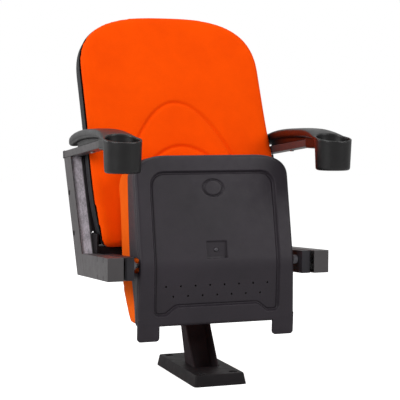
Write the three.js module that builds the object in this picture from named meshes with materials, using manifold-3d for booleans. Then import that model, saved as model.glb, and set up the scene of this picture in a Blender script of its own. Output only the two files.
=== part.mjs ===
// Tip up auditorium seat on a single leg, seat tipped up, in millimetres.
// X is across the seat, +Y goes to the back, +Z is up, and the origin is on the floor under the foot.

import * as THREE from 'three';
import { mergeVertices } from 'three/addons/utils/BufferGeometryUtils.js';
import Module from 'manifold-3d';

const wasm = await Module();
wasm.setup();

// Clearances and overruns
const seatGap = 0.3;
const runGap = 0.3;
const cutOver = 3;

// Widths that the seat and its frame are set out from
const backHalfWidth = 267;
const panSideIn = 59;
const panHalf = backHalfWidth - panSideIn;
const frameSideOut = 38;
const frameOuterX = backHalfWidth + frameSideOut;

// Facets round a circle
const roundSides = 20;
const boltSides = 12;
const ventSides = 8;
const cupSides = 36;

// Foot cover and floor plate
const coverWidth = 146;
const coverDepth = 320;
const coverHeight = 30;
const coverSlope = 6;
const coverWall = 4;
const coverCorner = 9;
const coverEdge = 2.5;
const coverSlotGap = 0.6;
const footPlateThick = 8;
const footPlateMargin = 2;
const floorBoltSideIn = 29;
const floorBoltX = coverWidth / 2 - floorBoltSideIn;
const floorBoltEndIn = 28;
const floorBoltY = coverDepth / 2 - floorBoltEndIn;
const floorBoltShank = 4;
const floorBoltHead = 8;
const floorBoltHeadHigh = 5.5;
const floorBoltHole = 4.6;
const boltBoss = 13.5;
const boltPocketTop = 11.5;
const boltPocketFloor = 9;
const boltPocketDeep = 9;

// Leg
const postWidth = 72;
const postWall = 4;
const postLean = 21.3;
const postRearY = 11.8;
const postFlangeFoot = 72;
const postFlangeTop = 43;
const postTaperEnd = 125;

// Cross beam and its plates
const beamDeep = 60;
const beamHigh = 30;
const beamWall = 2.5;
const beamFrontY = 72;
const beamBottom = 318;
const headPlateThick = 5;
const headPlateWidth = 128;
const headPlateDeep = 60;
const headPlateRearOver = 3;
const headBoltX = 50;
const headBoltShank = 4;
const headBoltHead = 7.5;
const headBoltHeadHigh = 5;
const headBoltHole = 4.5;
const endPlateThick = 5;
const endPlateHigh = 9;
const endPlateMargin = 4;
const endPlateInset = 10;
const endPlateRise = 22;

// Side frames
const channelWidth = 35;
const frameWall = 3;
const uprightLean = 25;
const uprightFrontY = 155;
const uprightFrontZ = 455;
const uprightDeep = 70;
const uprightRecess = 8;
const uprightHole = 3;
const uprightHoleInset = 15;
const uprightHoleZ = [377, 485];

// Rail beside the hinge, rising to the front
const railFrontY = -160;
const railMidZ = 315;
const railHigh = 60;
const railSlope = 3.6;
const railWidth = 42;
const railNotchGap = 4;
const slitWide = 3;
const slitHigh = 13;
const slitY = [-61, -118];

// Hinge housing
const housingSideIn = 73;
const housingInnerX = frameOuterX - housingSideIn;
const housingWidth = 21;
const housingFrontY = -150;
const housingLength = 195;
const housingWall = 3;
const housingCoverThick = 2.7;
const studRadius = 7;
const studY = [-120, 12];

// Pivot
const pivotY = -112;
const pivotZ = 318;
const pinRadius = 7;
const pinHeadRadius = 10;
const pinHeadThick = 2.7;
const bushBarrel = 12;
const bushReach = 12;
const bushNeck = 10.5;
const bushNeckLong = 4.5;
const bushLip = 1.5;
const camThick = 6;
const camRadius = 13;
const camReach = 26;
const camLugWide = 14;
const camRestAngle = 160;
const stopInner = 16;
const stopOuter = 25;
const stopWide = 8;
const springWire = 1;
const springRadius = 12;
const springPitch = 2.6;
const springTurns = 3;
const springSteps = 12;
const springSides = 3;
const tipTravel = 90;

// Arm tube, rising to the front
const tubeWidth = 35;
const tubeHigh = 20;
const tubeWall = 2;
const tubeRearY = 291;
const tubeFrontY = -168;
const tubeRiseY = 215;
const tubeRiseZ = 587;
const tubeSlope = 6;
const tubeCorner = 2.5;
const capThick = 8;
const capProud = 1;
const capPlug = 14;
const armScrewY = 45;
const armScrewShank = 2.5;
const armScrewHead = 6;
const armScrewHeadHigh = 3;
const armScrewHole = 3;

// Armrest with cup holder
const armSideIn = 21;
const armX = frameOuterX - armSideIn;
const armRearY = 258;
const armTipUp = 41;
const armTipZ = tubeRiseZ + armTipUp;
const armRise = 38;
const armWidth = 52;
const armPower = 3.2;
const armSectionPoints = 24;
const cupY = -226;
const cupTopRadius = 50;
const cupFootRadius = 46;
const cupWall = 5;
const cupRimUp = 17;
const cupRimZ = armTipZ + cupRimUp;
const cupTall = 85;
const cupFootZ = cupRimZ - cupTall;
const cupRimSlope = 9;
const cupFoot = 7;
const cupFloor = 5;
const wrapFrontOver = 20;
const wrapLength = 80;
const wrapWall = 4.7;
const wrapCorner = 7;
const wrapRoof = 17;
const armRibWide = 18;
const armRibRear = 172;
const armRibSink = 12;
// Each row: share of the arm's length from the rear tip, then top and bottom as shares of the rise,
// then width and shift outwards as shares of the arm's width.
const armSectionShares = [
  [0.000, 0.06, -0.06, 0.30, 0.135],
  [0.012, 0.26, -0.24, 0.52, 0.135],
  [0.050, 0.46, -0.26, 0.68, 0.135],
  [0.120, 0.66, -0.10, 0.75, 0.135],
  [0.225, 0.87, 0.12, 0.77, 0.135],
  [0.330, 0.97, 0.26, 0.84, 0.115],
  [0.540, 1.03, 0.40, 1.06, 0.077],
  [0.700, 0.95, 0.44, 1.30, 0.058],
  [0.800, 0.83, 0.42, 1.50, 0.038],
  [0.880, 0.70, 0.38, 1.74, 0.019],
  [0.940, 0.58, 0.30, 1.86, 0.008],
  [1.000, 0.45, 0.18, 1.90, 0.000],
];

// Back, in its own frame: s runs up the back, n stands out of it towards the sitter
const backBaseY = 42.7;
const backBaseZ = 355;
const backLean = 23.6;
const backLength = 685;
const backFootIn = 14;
const backFootHalf = backHalfWidth - backFootIn;
const backFootBlend = 150;
const backFootCorner = 24;
const backShoulder = 500;
const backShoulderPower = 2.8;
const backRingPoints = 56;
const backCentreS = 150;
const backTuck = 18;
const backTuckLength = 110;
const seamDepth = 12;
const backCushionEdge = 24;
const backRearInsets = [60, 24, 1];
const backCushionFront = 14;
const backCrown = 14;
const archInnerPeak = 285;
const archInnerDrop = 55;
const archOuterPeak = 416;
const archOuterDrop = 104;
const archSpan = 124;
const archWide = 9;
const archDeep = 5;
const archSpace = 36;
const archFadeLow = 12;
const archFadeHigh = 34;
const shellDepth = 60;
const shellSideEdge = 16;
const shellSideDepth = shellDepth - shellSideEdge;
const shellEdgeIn = 6;
const shellRearIn = 17;
const shellRearEdge = 5;
const shellMidDepth = shellDepth - shellRearEdge;
const shellWall = 3;
const shellProud = 1;
const shellFootRise = 48;
const boardThick = 12;
const boardMargin = 20;
const backBoardFoot = 118;
const shellBoss = 9;
const backScrewSideIn = 41;
const backScrewX = backHalfWidth - backScrewSideIn;
const backScrewS = [130, 262];
const backScrewShank = 3;
const backScrewHead = 6.5;
const backScrewHeadHigh = 3.5;
const backScrewHole = 3.5;
const backScrewBite = 9;
const bracketThick = 4;
const bracketFoot = 62;
const bracketHeel = 23;
const bracketTop = 292;
const bracketSideIn = 69;
const bracketInnerX = backHalfWidth - bracketSideIn;
const bracketDepth = 60;

// Seat, in its own frame when level: y runs to its rear, z up, the pivot at the origin
const seatTipped = 96.5;
const panFlare = 8;
const panRearHalf = panHalf + panFlare;
const panFront = 282;
const panFrontCorner = 96;
const panFlatHalf = panHalf - panFrontCorner;
const panFrontSide = 222;
const panFrontPower = 2.5;
const panRear = 156;
const panRearCorner = 14;
const panTaper = 12;
const panWall = 4;
const panKeelY = 5;
const panKeel = 28;
const panFrontRise = 24;
const panRearRise = 26;
const panRim = 63;
const panRimDrop = 10;
const panRimMid = 30;
const panEdge = 9;
const panRingPoints = 28;
const panelSideIn = 37;
const panelHalf = panHalf - panelSideIn;
const panelFront = 238;
const panelCorner = 36;
const panelRear = 127;
const panelNotch = 107;
const panelNotchIn = 64;
const panelNotchHalf = panelHalf - panelNotchIn;
const panelNotchStart = 39;
const panelNotchTop = panelHalf - panelNotchStart;
const panelStep = 7;
const panelSlope = 11;
const ovalFront = 198;
const ovalHalfX = 29;
const ovalHalfY = 22;
const ovalRing = 5;
const ovalDeep = 2;
const squareFront = 33;
const squareHalfX = 30;
const squareHalfY = 23;
const squareDeep = 6;
const ventRadius = 2.6;
const ventSpacing = panelHalf * 0.2357;
const ventFirstRow = 58;
const ventSecondRow = 84;
const ventRows = [{ rear: ventFirstRow, count: 8 }, { rear: ventSecondRow, count: 7 }];
const footTabOut = 1;
const footTabOuter = panRearHalf + footTabOut;
const footTabWide = 56;
const footTabInner = footTabOuter - footTabWide;
const footTabEnd = 198;
const footTabStart = 150;
const footTabThick = 12;
const footTabCorner = 8;
const notchRadius = 20;
const bumperHigh = 5;
const bumperWide = 46;
const bumperDeep = 16;
const seatBoardBottom = 16;
const seatBoardThick = 12;
const seatBoardMargin = 26;
const panBoss = 9;
const panBossIn = 88;
const panBossX = panHalf - panBossIn;
const panBossY = [-180, 100];
const panScrewShank = 2.5;
const panScrewHead = 5.5;
const panScrewHeadHigh = 3;
const panScrewHole = 2.9;
const panScrewBite = 9;
const hubPlateIn = 22;
const hubPlateX = panHalf - hubPlateIn;
const hubPlateThick = 5;
const hubPlateHalf = 38;
const hubPlateFoot = 14;
const hubFlange = 36;
const hubFlangeThick = 4;
const hubPocketGap = 2;
const hubPocketTop = 14;
const seatTop = 138;
const seatCrown = 6;
const seatSideRound = 11;
const seatFrontRound = 46;
const seatRoll = 92;
const seatRollIn = 8;
const seatRollEnd = 68;
const seatRollPower = 1.7;
const seatRimGap = 0.5;
const seatSkirt = 6;
const seatSideIn = 1;

// Colours and surfaces
const blackSteel = new THREE.MeshStandardMaterial({ color: 0x2a2628, roughness: 0.45, metalness: 0.1 });
const greySteel = new THREE.MeshStandardMaterial({ color: 0x5c585c, roughness: 0.5, metalness: 0.1 });
const boltSteel = new THREE.MeshStandardMaterial({ color: 0x9a9a9c, roughness: 0.35, metalness: 0.9 });
const blackPlastic = new THREE.MeshStandardMaterial({ color: 0x252427, roughness: 0.5, metalness: 0 });
const panPlastic = new THREE.MeshStandardMaterial({ color: 0x423e43, roughness: 0.6, metalness: 0 });
const orangeCloth = new THREE.MeshStandardMaterial({ color: 0xff5500, roughness: 0.95, metalness: 0 });
const plywood = new THREE.MeshStandardMaterial({ color: 0xb98f5c, roughness: 0.8, metalness: 0 });
const rubber = new THREE.MeshStandardMaterial({ color: 0x1c1c1d, roughness: 0.9, metalness: 0 });

const rad = THREE.MathUtils.degToRad;
const tan = (degrees) => Math.tan(rad(degrees));
const cos = (degrees) => Math.cos(rad(degrees));

// Turns a mesh whose faces point in the right way out
function facesOut(geometry) {
  const p = geometry.attributes.position;
  const index = geometry.index;
  const a = new THREE.Vector3();
  const b = new THREE.Vector3();
  const c = new THREE.Vector3();
  let volume = 0;
  for (let i = 0; i < index.count; i += 3) {
    a.fromBufferAttribute(p, index.getX(i));
    b.fromBufferAttribute(p, index.getX(i + 1));
    c.fromBufferAttribute(p, index.getX(i + 2));
    volume += a.dot(b.cross(c));
  }
  if (volume < 0) {
    for (let i = 0; i < index.count; i += 3) {
      const keep = index.getX(i);
      index.setX(i, index.getX(i + 2));
      index.setX(i + 2, keep);
    }
  }
  return geometry;
}

// Leaves only positions, with shared corners merged
function bare(geometry) {
  const plain = geometry.clone();
  plain.deleteAttribute('normal');
  plain.deleteAttribute('uv');
  return facesOut(mergeVertices(plain));
}

function toSolid(geometry) {
  const plain = bare(geometry);
  return new wasm.Manifold(new wasm.Mesh({
    numProp: 3,
    vertProperties: new Float32Array(plain.attributes.position.array),
    triVerts: new Uint32Array(plain.index.array),
  }));
}

function toGeometry(solid) {
  const mesh = solid.getMesh();
  const geometry = new THREE.BufferGeometry();
  const corners = new Float32Array(mesh.vertProperties.length / mesh.numProp * 3);
  for (let i = 0; i < corners.length / 3; i += 1) {
    for (let k = 0; k < 3; k += 1) {
      corners[3 * i + k] = mesh.vertProperties[mesh.numProp * i + k];
    }
  }
  geometry.setAttribute('position', new THREE.BufferAttribute(corners, 3));
  geometry.setIndex(new THREE.BufferAttribute(new Uint32Array(mesh.triVerts), 1));
  return geometry;
}

function join(first, ...others) {
  return toGeometry(others.reduce((sum, next) => sum.add(toSolid(next)), toSolid(first)));
}

function cut(first, ...cutters) {
  return toGeometry(cutters.reduce((rest, next) => rest.subtract(toSolid(next)), toSolid(first)));
}

// Mirrors a piece made for +X to the other side
function mirrored(geometry) {
  const flipped = bare(geometry);
  flipped.scale(-1, 1, 1);
  return facesOut(flipped);
}

// Outlines: [a, b] pairs become a shape, with an optional hole
function outline(points, hole) {
  const shape = new THREE.Shape(points.map(([a, b]) => new THREE.Vector2(a, b)));
  if (hole) {
    shape.holes.push(new THREE.Path(hole.map(([a, b]) => new THREE.Vector2(a, b))));
  }
  return shape;
}

// A side profile in Y and Z, carried from xLow to xHigh
function alongX(points, xLow, xHigh, hole) {
  const geometry = new THREE.ExtrudeGeometry(outline(points, hole), { depth: xHigh - xLow, bevelEnabled: false });
  const turn = new THREE.Matrix4().makeBasis(
    new THREE.Vector3(0, 1, 0), new THREE.Vector3(0, 0, 1), new THREE.Vector3(1, 0, 0));
  geometry.applyMatrix4(turn);
  geometry.translate(xLow, 0, 0);
  return geometry;
}

// A front profile in X and Z, carried from yLow to yHigh
function alongY(points, yLow, yHigh, hole) {
  const geometry = new THREE.ExtrudeGeometry(outline(points, hole), { depth: yHigh - yLow, bevelEnabled: false });
  const turn = new THREE.Matrix4().makeBasis(
    new THREE.Vector3(1, 0, 0), new THREE.Vector3(0, 0, 1), new THREE.Vector3(0, -1, 0));
  geometry.applyMatrix4(turn);
  geometry.translate(0, yHigh, 0);
  return geometry;
}

// A plan in X and Y, carried from zLow to zHigh
function alongZ(points, zLow, zHigh, hole) {
  const geometry = new THREE.ExtrudeGeometry(outline(points, hole), { depth: zHigh - zLow, bevelEnabled: false });
  geometry.translate(0, 0, zLow);
  return geometry;
}

function block(xLow, xHigh, yLow, yHigh, zLow, zHigh) {
  return alongZ([[xLow, yLow], [xHigh, yLow], [xHigh, yHigh], [xLow, yHigh]], zLow, zHigh);
}

// The points of a rectangle with round corners, centred on zero
function roundRect(halfA, halfB, radius, steps = 3) {
  const points = [];
  const corners = [[1, 1, 0], [-1, 1, 90], [-1, -1, 180], [1, -1, 270]];
  for (const [signA, signB, start] of corners) {
    for (let i = 0; i <= steps; i += 1) {
      const angle = rad(start + 90 * i / steps);
      points.push([
        signA * (halfA - radius) + radius * Math.cos(angle),
        signB * (halfB - radius) + radius * Math.sin(angle),
      ]);
    }
  }
  return points;
}

// A revolved profile of [radius, height] pairs about Z
function turned(points, sides = roundSides) {
  const geometry = new THREE.LatheGeometry(points.map(([r, h]) => new THREE.Vector2(r, h)), sides);
  geometry.rotateX(Math.PI / 2);
  return geometry;
}

function roundBar(radius, low, high, sides = roundSides) {
  return turned([[0, low], [radius, low], [radius, high], [0, high]], sides);
}

// Turns a piece made about Z to lie along X, low end towards the middle of the seat
function layAlongX(geometry) {
  return geometry.rotateY(Math.PI / 2);
}

// Joins rings of equal count into one closed skin, with a centre point at each end
function skin(rings, firstCentre, lastCentre) {
  const count = rings[0].length;
  const corners = [...firstCentre];
  rings.forEach((ring) => ring.forEach((point) => corners.push(...point)));
  corners.push(...lastCentre);
  const last = rings.length * count + 1;
  const faces = [];
  for (let i = 0; i < count; i += 1) {
    const next = (i + 1) % count;
    faces.push(0, 1 + next, 1 + i);
    for (let k = 0; k + 1 < rings.length; k += 1) {
      const a = 1 + k * count + i;
      const b = 1 + k * count + next;
      faces.push(a, b, b + count, a, b + count, a + count);
    }
    const top = 1 + (rings.length - 1) * count;
    faces.push(top + i, top + next, last);
  }
  const geometry = new THREE.BufferGeometry();
  geometry.setAttribute('position', new THREE.BufferAttribute(new Float32Array(corners), 3));
  geometry.setIndex(faces);
  return facesOut(geometry);
}

// Spreads points evenly along a closed outline
function spread(points, count) {
  const shape = outline(points);
  shape.autoClose = true;
  return shape.getSpacedPoints(count).slice(0, count).map((point) => [point.x, point.y]);
}

// Moves an outline's point towards a centre by a distance
function inward([x, y], [centreX, centreY], distance) {
  const length = Math.hypot(x - centreX, y - centreY);
  const share = 1 - distance / length;
  return [centreX + (x - centreX) * share, centreY + (y - centreY) * share];
}

// Distance from a centre to an outline in a direction, the outline being met once
function reach(points, [centreX, centreY], angle) {
  const dx = Math.cos(angle);
  const dy = Math.sin(angle);
  let best = 0;
  for (let i = 0; i < points.length; i += 1) {
    const [ax, ay] = points[i];
    const [bx, by] = points[(i + 1) % points.length];
    const ex = bx - ax;
    const ey = by - ay;
    const cross = dx * ey - dy * ex;
    if (cross !== 0) {
      const along = ((ax - centreX) * ey - (ay - centreY) * ex) / cross;
      const part = ((ax - centreX) * dy - (ay - centreY) * dx) / cross;
      if (along > 0 && part >= 0 && part <= 1) {
        best = Math.max(best, along);
      }
    }
  }
  return best;
}

const smooth = (value) => {
  const t = Math.min(1, Math.max(0, value));
  return t * t * (3 - 2 * t);
};

// Groups: the standing frame, the leaning back and the tipping seat
const seatUnit = new THREE.Group();
const backGroup = new THREE.Group();
backGroup.position.set(0, backBaseY, backBaseZ);
backGroup.rotation.x = -rad(backLean);
const tipGroup = new THREE.Group();
tipGroup.position.set(0, pivotY, pivotZ);
tipGroup.rotation.x = -rad(seatTipped);
seatUnit.add(backGroup, tipGroup);

function place(name, geometry, material, group = seatUnit) {
  const mesh = new THREE.Mesh(bare(geometry), material);
  mesh.name = name;
  group.add(mesh);
}

function placePair(name, geometry, material, group = seatUnit) {
  place(`${name}_right`, geometry, material, group);
  place(`${name}_left`, mirrored(geometry), material, group);
}

// Derived lines of the frame
const railMid = (y) => railMidZ - (y - railFrontY) * tan(railSlope);
const railTop = (y) => railMid(y) + railHigh / 2;
const railFoot = (y) => railMid(y) - railHigh / 2;
const uprightFront = (z) => uprightFrontY + (z - uprightFrontZ) * tan(uprightLean);
const uprightRear = (z) => uprightFront(z) + uprightDeep / cos(uprightLean);
const tubeFoot = (y) => tubeRiseZ + (tubeRiseY - y) * tan(tubeSlope);
const tubeRoof = (y) => tubeFoot(y) + tubeHigh / cos(tubeSlope);
const channelInnerX = frameOuterX - channelWidth;

// Where a leaning line y(z) meets a sloping line z(y)
function meet(leaning, sloping, startZ) {
  let z = startZ;
  for (let i = 0; i < 40; i += 1) {
    z = sloping(leaning(z));
  }
  return [leaning(z), z];
}

// Foot
function footCover() {
  const halfX = coverWidth / 2;
  const halfY = coverDepth / 2;
  const ring = (inset, z) => roundRect(halfX - inset, halfY - inset, coverCorner - inset / 2).map(([x, y]) => [x, y, z]);
  const slope = (z) => coverSlope * z / coverHeight;
  const edgeZ = coverHeight - coverEdge;
  const outer = skin(
    [ring(0, 0), ring(slope(edgeZ), edgeZ), ring(coverSlope + coverEdge / 2, coverHeight)],
    [0, 0, 0], [0, 0, coverHeight]);
  const roofZ = coverHeight - coverWall;
  const hollow = skin(
    [ring(coverWall, -cutOver), ring(coverWall + slope(roofZ), roofZ)],
    [0, 0, -cutOver], [0, 0, roofZ]);
  const bosses = [];
  const holes = [];
  for (const [x, y] of floorBoltPlaces()) {
    bosses.push(roundBar(boltBoss, footPlateThick + seatGap, roofZ + coverWall / 2).translate(x, y, 0));
    const floorZ = coverHeight - boltPocketDeep;
    holes.push(turned([
      [0, footPlateThick - cutOver], [floorBoltHole, footPlateThick - cutOver], [floorBoltHole, floorZ],
      [boltPocketFloor, floorZ], [boltPocketTop, coverHeight], [boltPocketTop, coverHeight + cutOver],
      [0, coverHeight + cutOver],
    ], roundSides).translate(x, y, 0));
  }
  const slotHalf = postWidth / 2 + coverSlotGap;
  const slot = block(
    -slotHalf, slotHalf,
    postFrontAt(coverHeight - coverWall) - coverSlotGap - postWall, postRearAt(coverHeight) + coverSlotGap,
    roofZ - cutOver, coverHeight + cutOver);
  return cut(join(cut(outer, hollow), ...bosses), slot, ...holes);
}

function floorBoltPlaces() {
  return [
    [-floorBoltX, -floorBoltY], [floorBoltX, -floorBoltY],
    [-floorBoltX, floorBoltY], [floorBoltX, floorBoltY],
  ];
}

function footPlate() {
  const inset = coverWall + coverSlope + footPlateMargin;
  const plate = alongZ(roundRect(coverWidth / 2 - inset, coverDepth / 2 - inset, coverCorner / 2), 0, footPlateThick);
  const holes = floorBoltPlaces().map(([x, y]) => (
    roundBar(floorBoltHole, -cutOver, footPlateThick + cutOver, boltSides).translate(x, y, 0)));
  return cut(plate, ...holes);
}

function floorBolt(x, y) {
  const seat = coverHeight - boltPocketDeep + seatGap;
  return turned([
    [0, seatGap], [floorBoltShank, seatGap], [floorBoltShank, seat], [floorBoltHead, seat],
    [floorBoltHead, seat + floorBoltHeadHigh / 2], [floorBoltHead * 0.6, seat + floorBoltHeadHigh],
    [0, seat + floorBoltHeadHigh],
  ], boltSides).translate(x, y, 0);
}

// Leg: a U-channel open to the front, its flanges narrowing upwards
const postRearAt = (z) => postRearY + (z - footPlateThick) * tan(postLean);
const postFrontAt = (z) => {
  const share = Math.min(1, (z - footPlateThick) / (postTaperEnd - footPlateThick));
  return postRearAt(z) - postFlangeFoot + (postFlangeFoot - postFlangeTop) * share;
};
const postTopZ = beamBottom - headPlateThick - 2 * seatGap;

function post() {
  const footZ = footPlateThick + seatGap;
  const side = [
    [postRearAt(footZ), footZ], [postRearAt(postTopZ), postTopZ], [postFrontAt(postTopZ), postTopZ],
    [postFrontAt(postTaperEnd), postTaperEnd], [postFrontAt(footZ), footZ],
  ];
  const webAt = (z) => postRearAt(z) - postWall / cos(postLean);
  const inside = [
    [webAt(footZ - cutOver), footZ - cutOver], [webAt(postTopZ + cutOver), postTopZ + cutOver],
    [postFrontAt(postTopZ) - postWidth, postTopZ + cutOver], [postFrontAt(footZ) - postWidth, footZ - cutOver],
  ];
  const half = postWidth / 2;
  return cut(alongX(side, -half, half), alongX(inside, postWall - half, half - postWall));
}

const headPlateRear = postRearAt(postTopZ) + headPlateRearOver;
const headBoltY = headPlateRear - headPlateDeep / 2;

function headPlate() {
  const low = postTopZ + seatGap;
  const half = headPlateWidth / 2;
  const plate = block(-half, half, headPlateRear - headPlateDeep, headPlateRear, low, low + headPlateThick);
  const holes = [-headBoltX, headBoltX].map((x) => (
    roundBar(headBoltHole, low - cutOver, low + headPlateThick + cutOver, boltSides).translate(x, headBoltY, 0)));
  return cut(plate, ...holes);
}

function headBolt() {
  const seat = postTopZ;
  const top = beamBottom + beamWall + headBoltHeadHigh;
  return turned([
    [0, seat - headBoltHeadHigh], [headBoltHead, seat - headBoltHeadHigh], [headBoltHead, seat],
    [headBoltShank, seat], [headBoltShank, top], [0, top],
  ], boltSides).translate(headBoltX, headBoltY, 0);
}

const beamHalf = channelInnerX - endPlateThick - 2 * seatGap;

function crossBeam() {
  const rear = beamFrontY + beamDeep;
  const top = beamBottom + beamHigh;
  const outer = [[beamFrontY, beamBottom], [rear, beamBottom], [rear, top], [beamFrontY, top]];
  const hole = [
    [beamFrontY + beamWall, beamBottom + beamWall], [beamFrontY + beamWall, top - beamWall],
    [rear - beamWall, top - beamWall], [rear - beamWall, beamBottom + beamWall],
  ];
  const holes = [-headBoltX, headBoltX].map((x) => (
    roundBar(headBoltHole, beamBottom - cutOver, beamBottom + beamWall + cutOver / 2, boltSides)
      .translate(x, headBoltY, 0)));
  return cut(alongX(outer, -beamHalf, beamHalf, hole), ...holes);
}

function beamEndPlate() {
  const low = beamBottom - endPlateMargin;
  const high = beamBottom + beamHigh + endPlateMargin + endPlateHigh;
  const profile = [
    [beamFrontY - endPlateMargin / 2, low], [uprightRear(low) - endPlateInset, low],
    [uprightRear(high) - endPlateInset, high], [uprightFront(high) + endPlateInset, high + endPlateRise],
    [beamFrontY - endPlateMargin / 2, high + endPlateRise],
  ];
  const outerX = channelInnerX - seatGap;
  return alongX(profile, outerX - endPlateThick, outerX);
}

function stopBumper() {
  const top = beamBottom - seatGap;
  const centreX = (footTabInner + footTabOuter) / 2;
  const low = beamFrontY + endPlateMargin / 2;
  return alongZ(
    roundRect(bumperWide / 2, bumperDeep / 2, bumperHigh / 2).map(([x, y]) => [x + centreX, y + low + bumperDeep / 2]),
    top - bumperHigh, top);
}

// Side frame: the upright is a channel open to the rear, its front wall set back behind the outer plate
function upright() {
  const bottomFront = meet(uprightFront, railFoot, railMidZ);
  const bottomRear = meet(uprightRear, railFoot, railMidZ);
  const topLine = (y) => tubeFoot(y) - seatGap;
  const topFront = meet(uprightFront, topLine, tubeRiseZ);
  const topRear = meet(uprightRear, topLine, tubeRiseZ);
  const body = alongX([bottomFront, bottomRear, topRear, topFront], channelInnerX, frameOuterX);
  const low = bottomRear[1] - cutOver;
  const high = topFront[1] + cutOver;
  const strip = (near, far, innerX) => alongX([
    [uprightFront(low) + near, low], [uprightFront(low) + far, low],
    [uprightFront(high) + far, high], [uprightFront(high) + near, high],
  ], innerX, frameOuterX - frameWall);
  const recess = strip(-uprightDeep, uprightRecess, channelInnerX - cutOver);
  const inside = strip(uprightRecess + frameWall, 2 * uprightDeep, channelInnerX + frameWall);
  const holes = uprightHoleZ.map((z) => (
    layAlongX(roundBar(uprightHole, frameOuterX - frameWall - cutOver, frameOuterX + cutOver, ventSides))
      .translate(0, uprightRear(z) - uprightHoleInset, z)));
  return cut(body, recess, inside, ...holes);
}

function sideRail() {
  const innerX = frameOuterX - railWidth;
  const frontLine = (z) => uprightFront(z) - seatGap / cos(uprightLean);
  const rearTop = meet(frontLine, railTop, railMidZ);
  const rearFoot = meet(frontLine, railFoot, railMidZ);
  const body = alongX([
    [railFrontY, railFoot(railFrontY)], rearFoot, rearTop, [railFrontY, railTop(railFrontY)],
  ], innerX, frameOuterX);
  const inFront = railFrontY + frameWall;
  const inRear = rearTop[0] + railHigh;
  const inside = alongX([
    [inFront, railFoot(inFront) + frameWall], [inRear, railFoot(inRear) + frameWall],
    [inRear, railTop(inRear) - frameWall], [inFront, railTop(inFront) - frameWall],
  ], innerX - cutOver, frameOuterX - frameWall);
  const slits = [];
  for (const y of slitY) {
    const outX = frameOuterX + cutOver;
    const inX = frameOuterX - frameWall - cutOver;
    slits.push(block(inX, outX, y - slitWide / 2, y + slitWide / 2, railTop(y) - slitHigh, railTop(y) + cutOver));
    slits.push(block(inX, outX, y - slitWide / 2, y + slitWide / 2, railFoot(y) - cutOver, railFoot(y) + slitHigh));
  }
  const notch = block(
    innerX - cutOver, channelInnerX, beamFrontY - railNotchGap, rearTop[0] + cutOver,
    railMidZ, railTop(railFrontY));
  return cut(body, inside, notch, ...slits);
}

function armTube() {
  const halfX = tubeWidth / 2;
  const halfZ = tubeHigh / 2;
  const shell = alongY(
    roundRect(halfX, halfZ, tubeCorner, 2), 0, (tubeRearY - tubeFrontY) / cos(tubeSlope),
    roundRect(halfX - tubeWall, halfZ - tubeWall, tubeCorner - tubeWall / 2, 2).reverse());
  return cut(setOnTube(shell, tubeFrontY), armScrewCutter(armScrewHole));
}

// Lays a piece made along +Y from the tube's front end on the tube's own sloping line
function setOnTube(geometry, frontY) {
  geometry.rotateX(-rad(tubeSlope));
  geometry.translate(frameOuterX - tubeWidth / 2, frontY, tubeFoot(frontY) + tubeHigh / 2 / cos(tubeSlope));
  return geometry;
}

function armScrewCutter(radius) {
  return roundBar(radius, tubeFoot(armScrewY) - tubeHigh, armTipZ + armRise / 2, boltSides)
    .translate(frameOuterX - tubeWidth / 2, armScrewY, 0);
}

function armTubeCap() {
  const halfX = tubeWidth / 2;
  const halfZ = tubeHigh / 2;
  const rear = (tubeRearY - tubeFrontY) / cos(tubeSlope);
  const flange = alongY(roundRect(halfX + capProud, halfZ + capProud, tubeCorner), rear + seatGap, rear + capThick);
  const plugX = halfX - tubeWall - seatGap;
  const plugZ = halfZ - tubeWall - seatGap;
  const plug = alongY(roundRect(plugX, plugZ, tubeCorner / 2, 2), rear - capPlug, rear + capThick / 2);
  return setOnTube(join(flange, plug), tubeFrontY);
}

function armScrew() {
  const seat = tubeFoot(armScrewY) - seatGap - armScrewHead * tan(tubeSlope);
  const top = tubeRoof(armScrewY) + armRibSink;
  return turned([
    [0, seat - armScrewHeadHigh], [armScrewHead * 0.7, seat - armScrewHeadHigh], [armScrewHead, seat - armScrewHeadHigh / 2],
    [armScrewHead, seat], [armScrewShank, seat], [armScrewShank, top], [0, top],
  ], boltSides).translate(frameOuterX - tubeWidth / 2, armScrewY, 0);
}

// Armrest: a long pad that thins to a round tip and widens into the cup holder
function armSection([along, top, bottom, width, shift]) {
  const y = armRearY + (cupY - armRearY) * along;
  const high = armTipZ + armRise * top;
  const low = armTipZ + armRise * bottom;
  const halfX = armWidth * width / 2;
  const halfZ = (high - low) / 2;
  const ring = [];
  for (let i = 0; i < armSectionPoints; i += 1) {
    const angle = 2 * Math.PI * i / armSectionPoints;
    const c = Math.cos(angle);
    const s = Math.sin(angle);
    ring.push([
      armX + armWidth * shift + halfX * Math.sign(c) * Math.abs(c) ** (2 / armPower), y,
      (high + low) / 2 + halfZ * Math.sign(s) * Math.abs(s) ** (2 / armPower),
    ]);
  }
  return ring;
}

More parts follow.
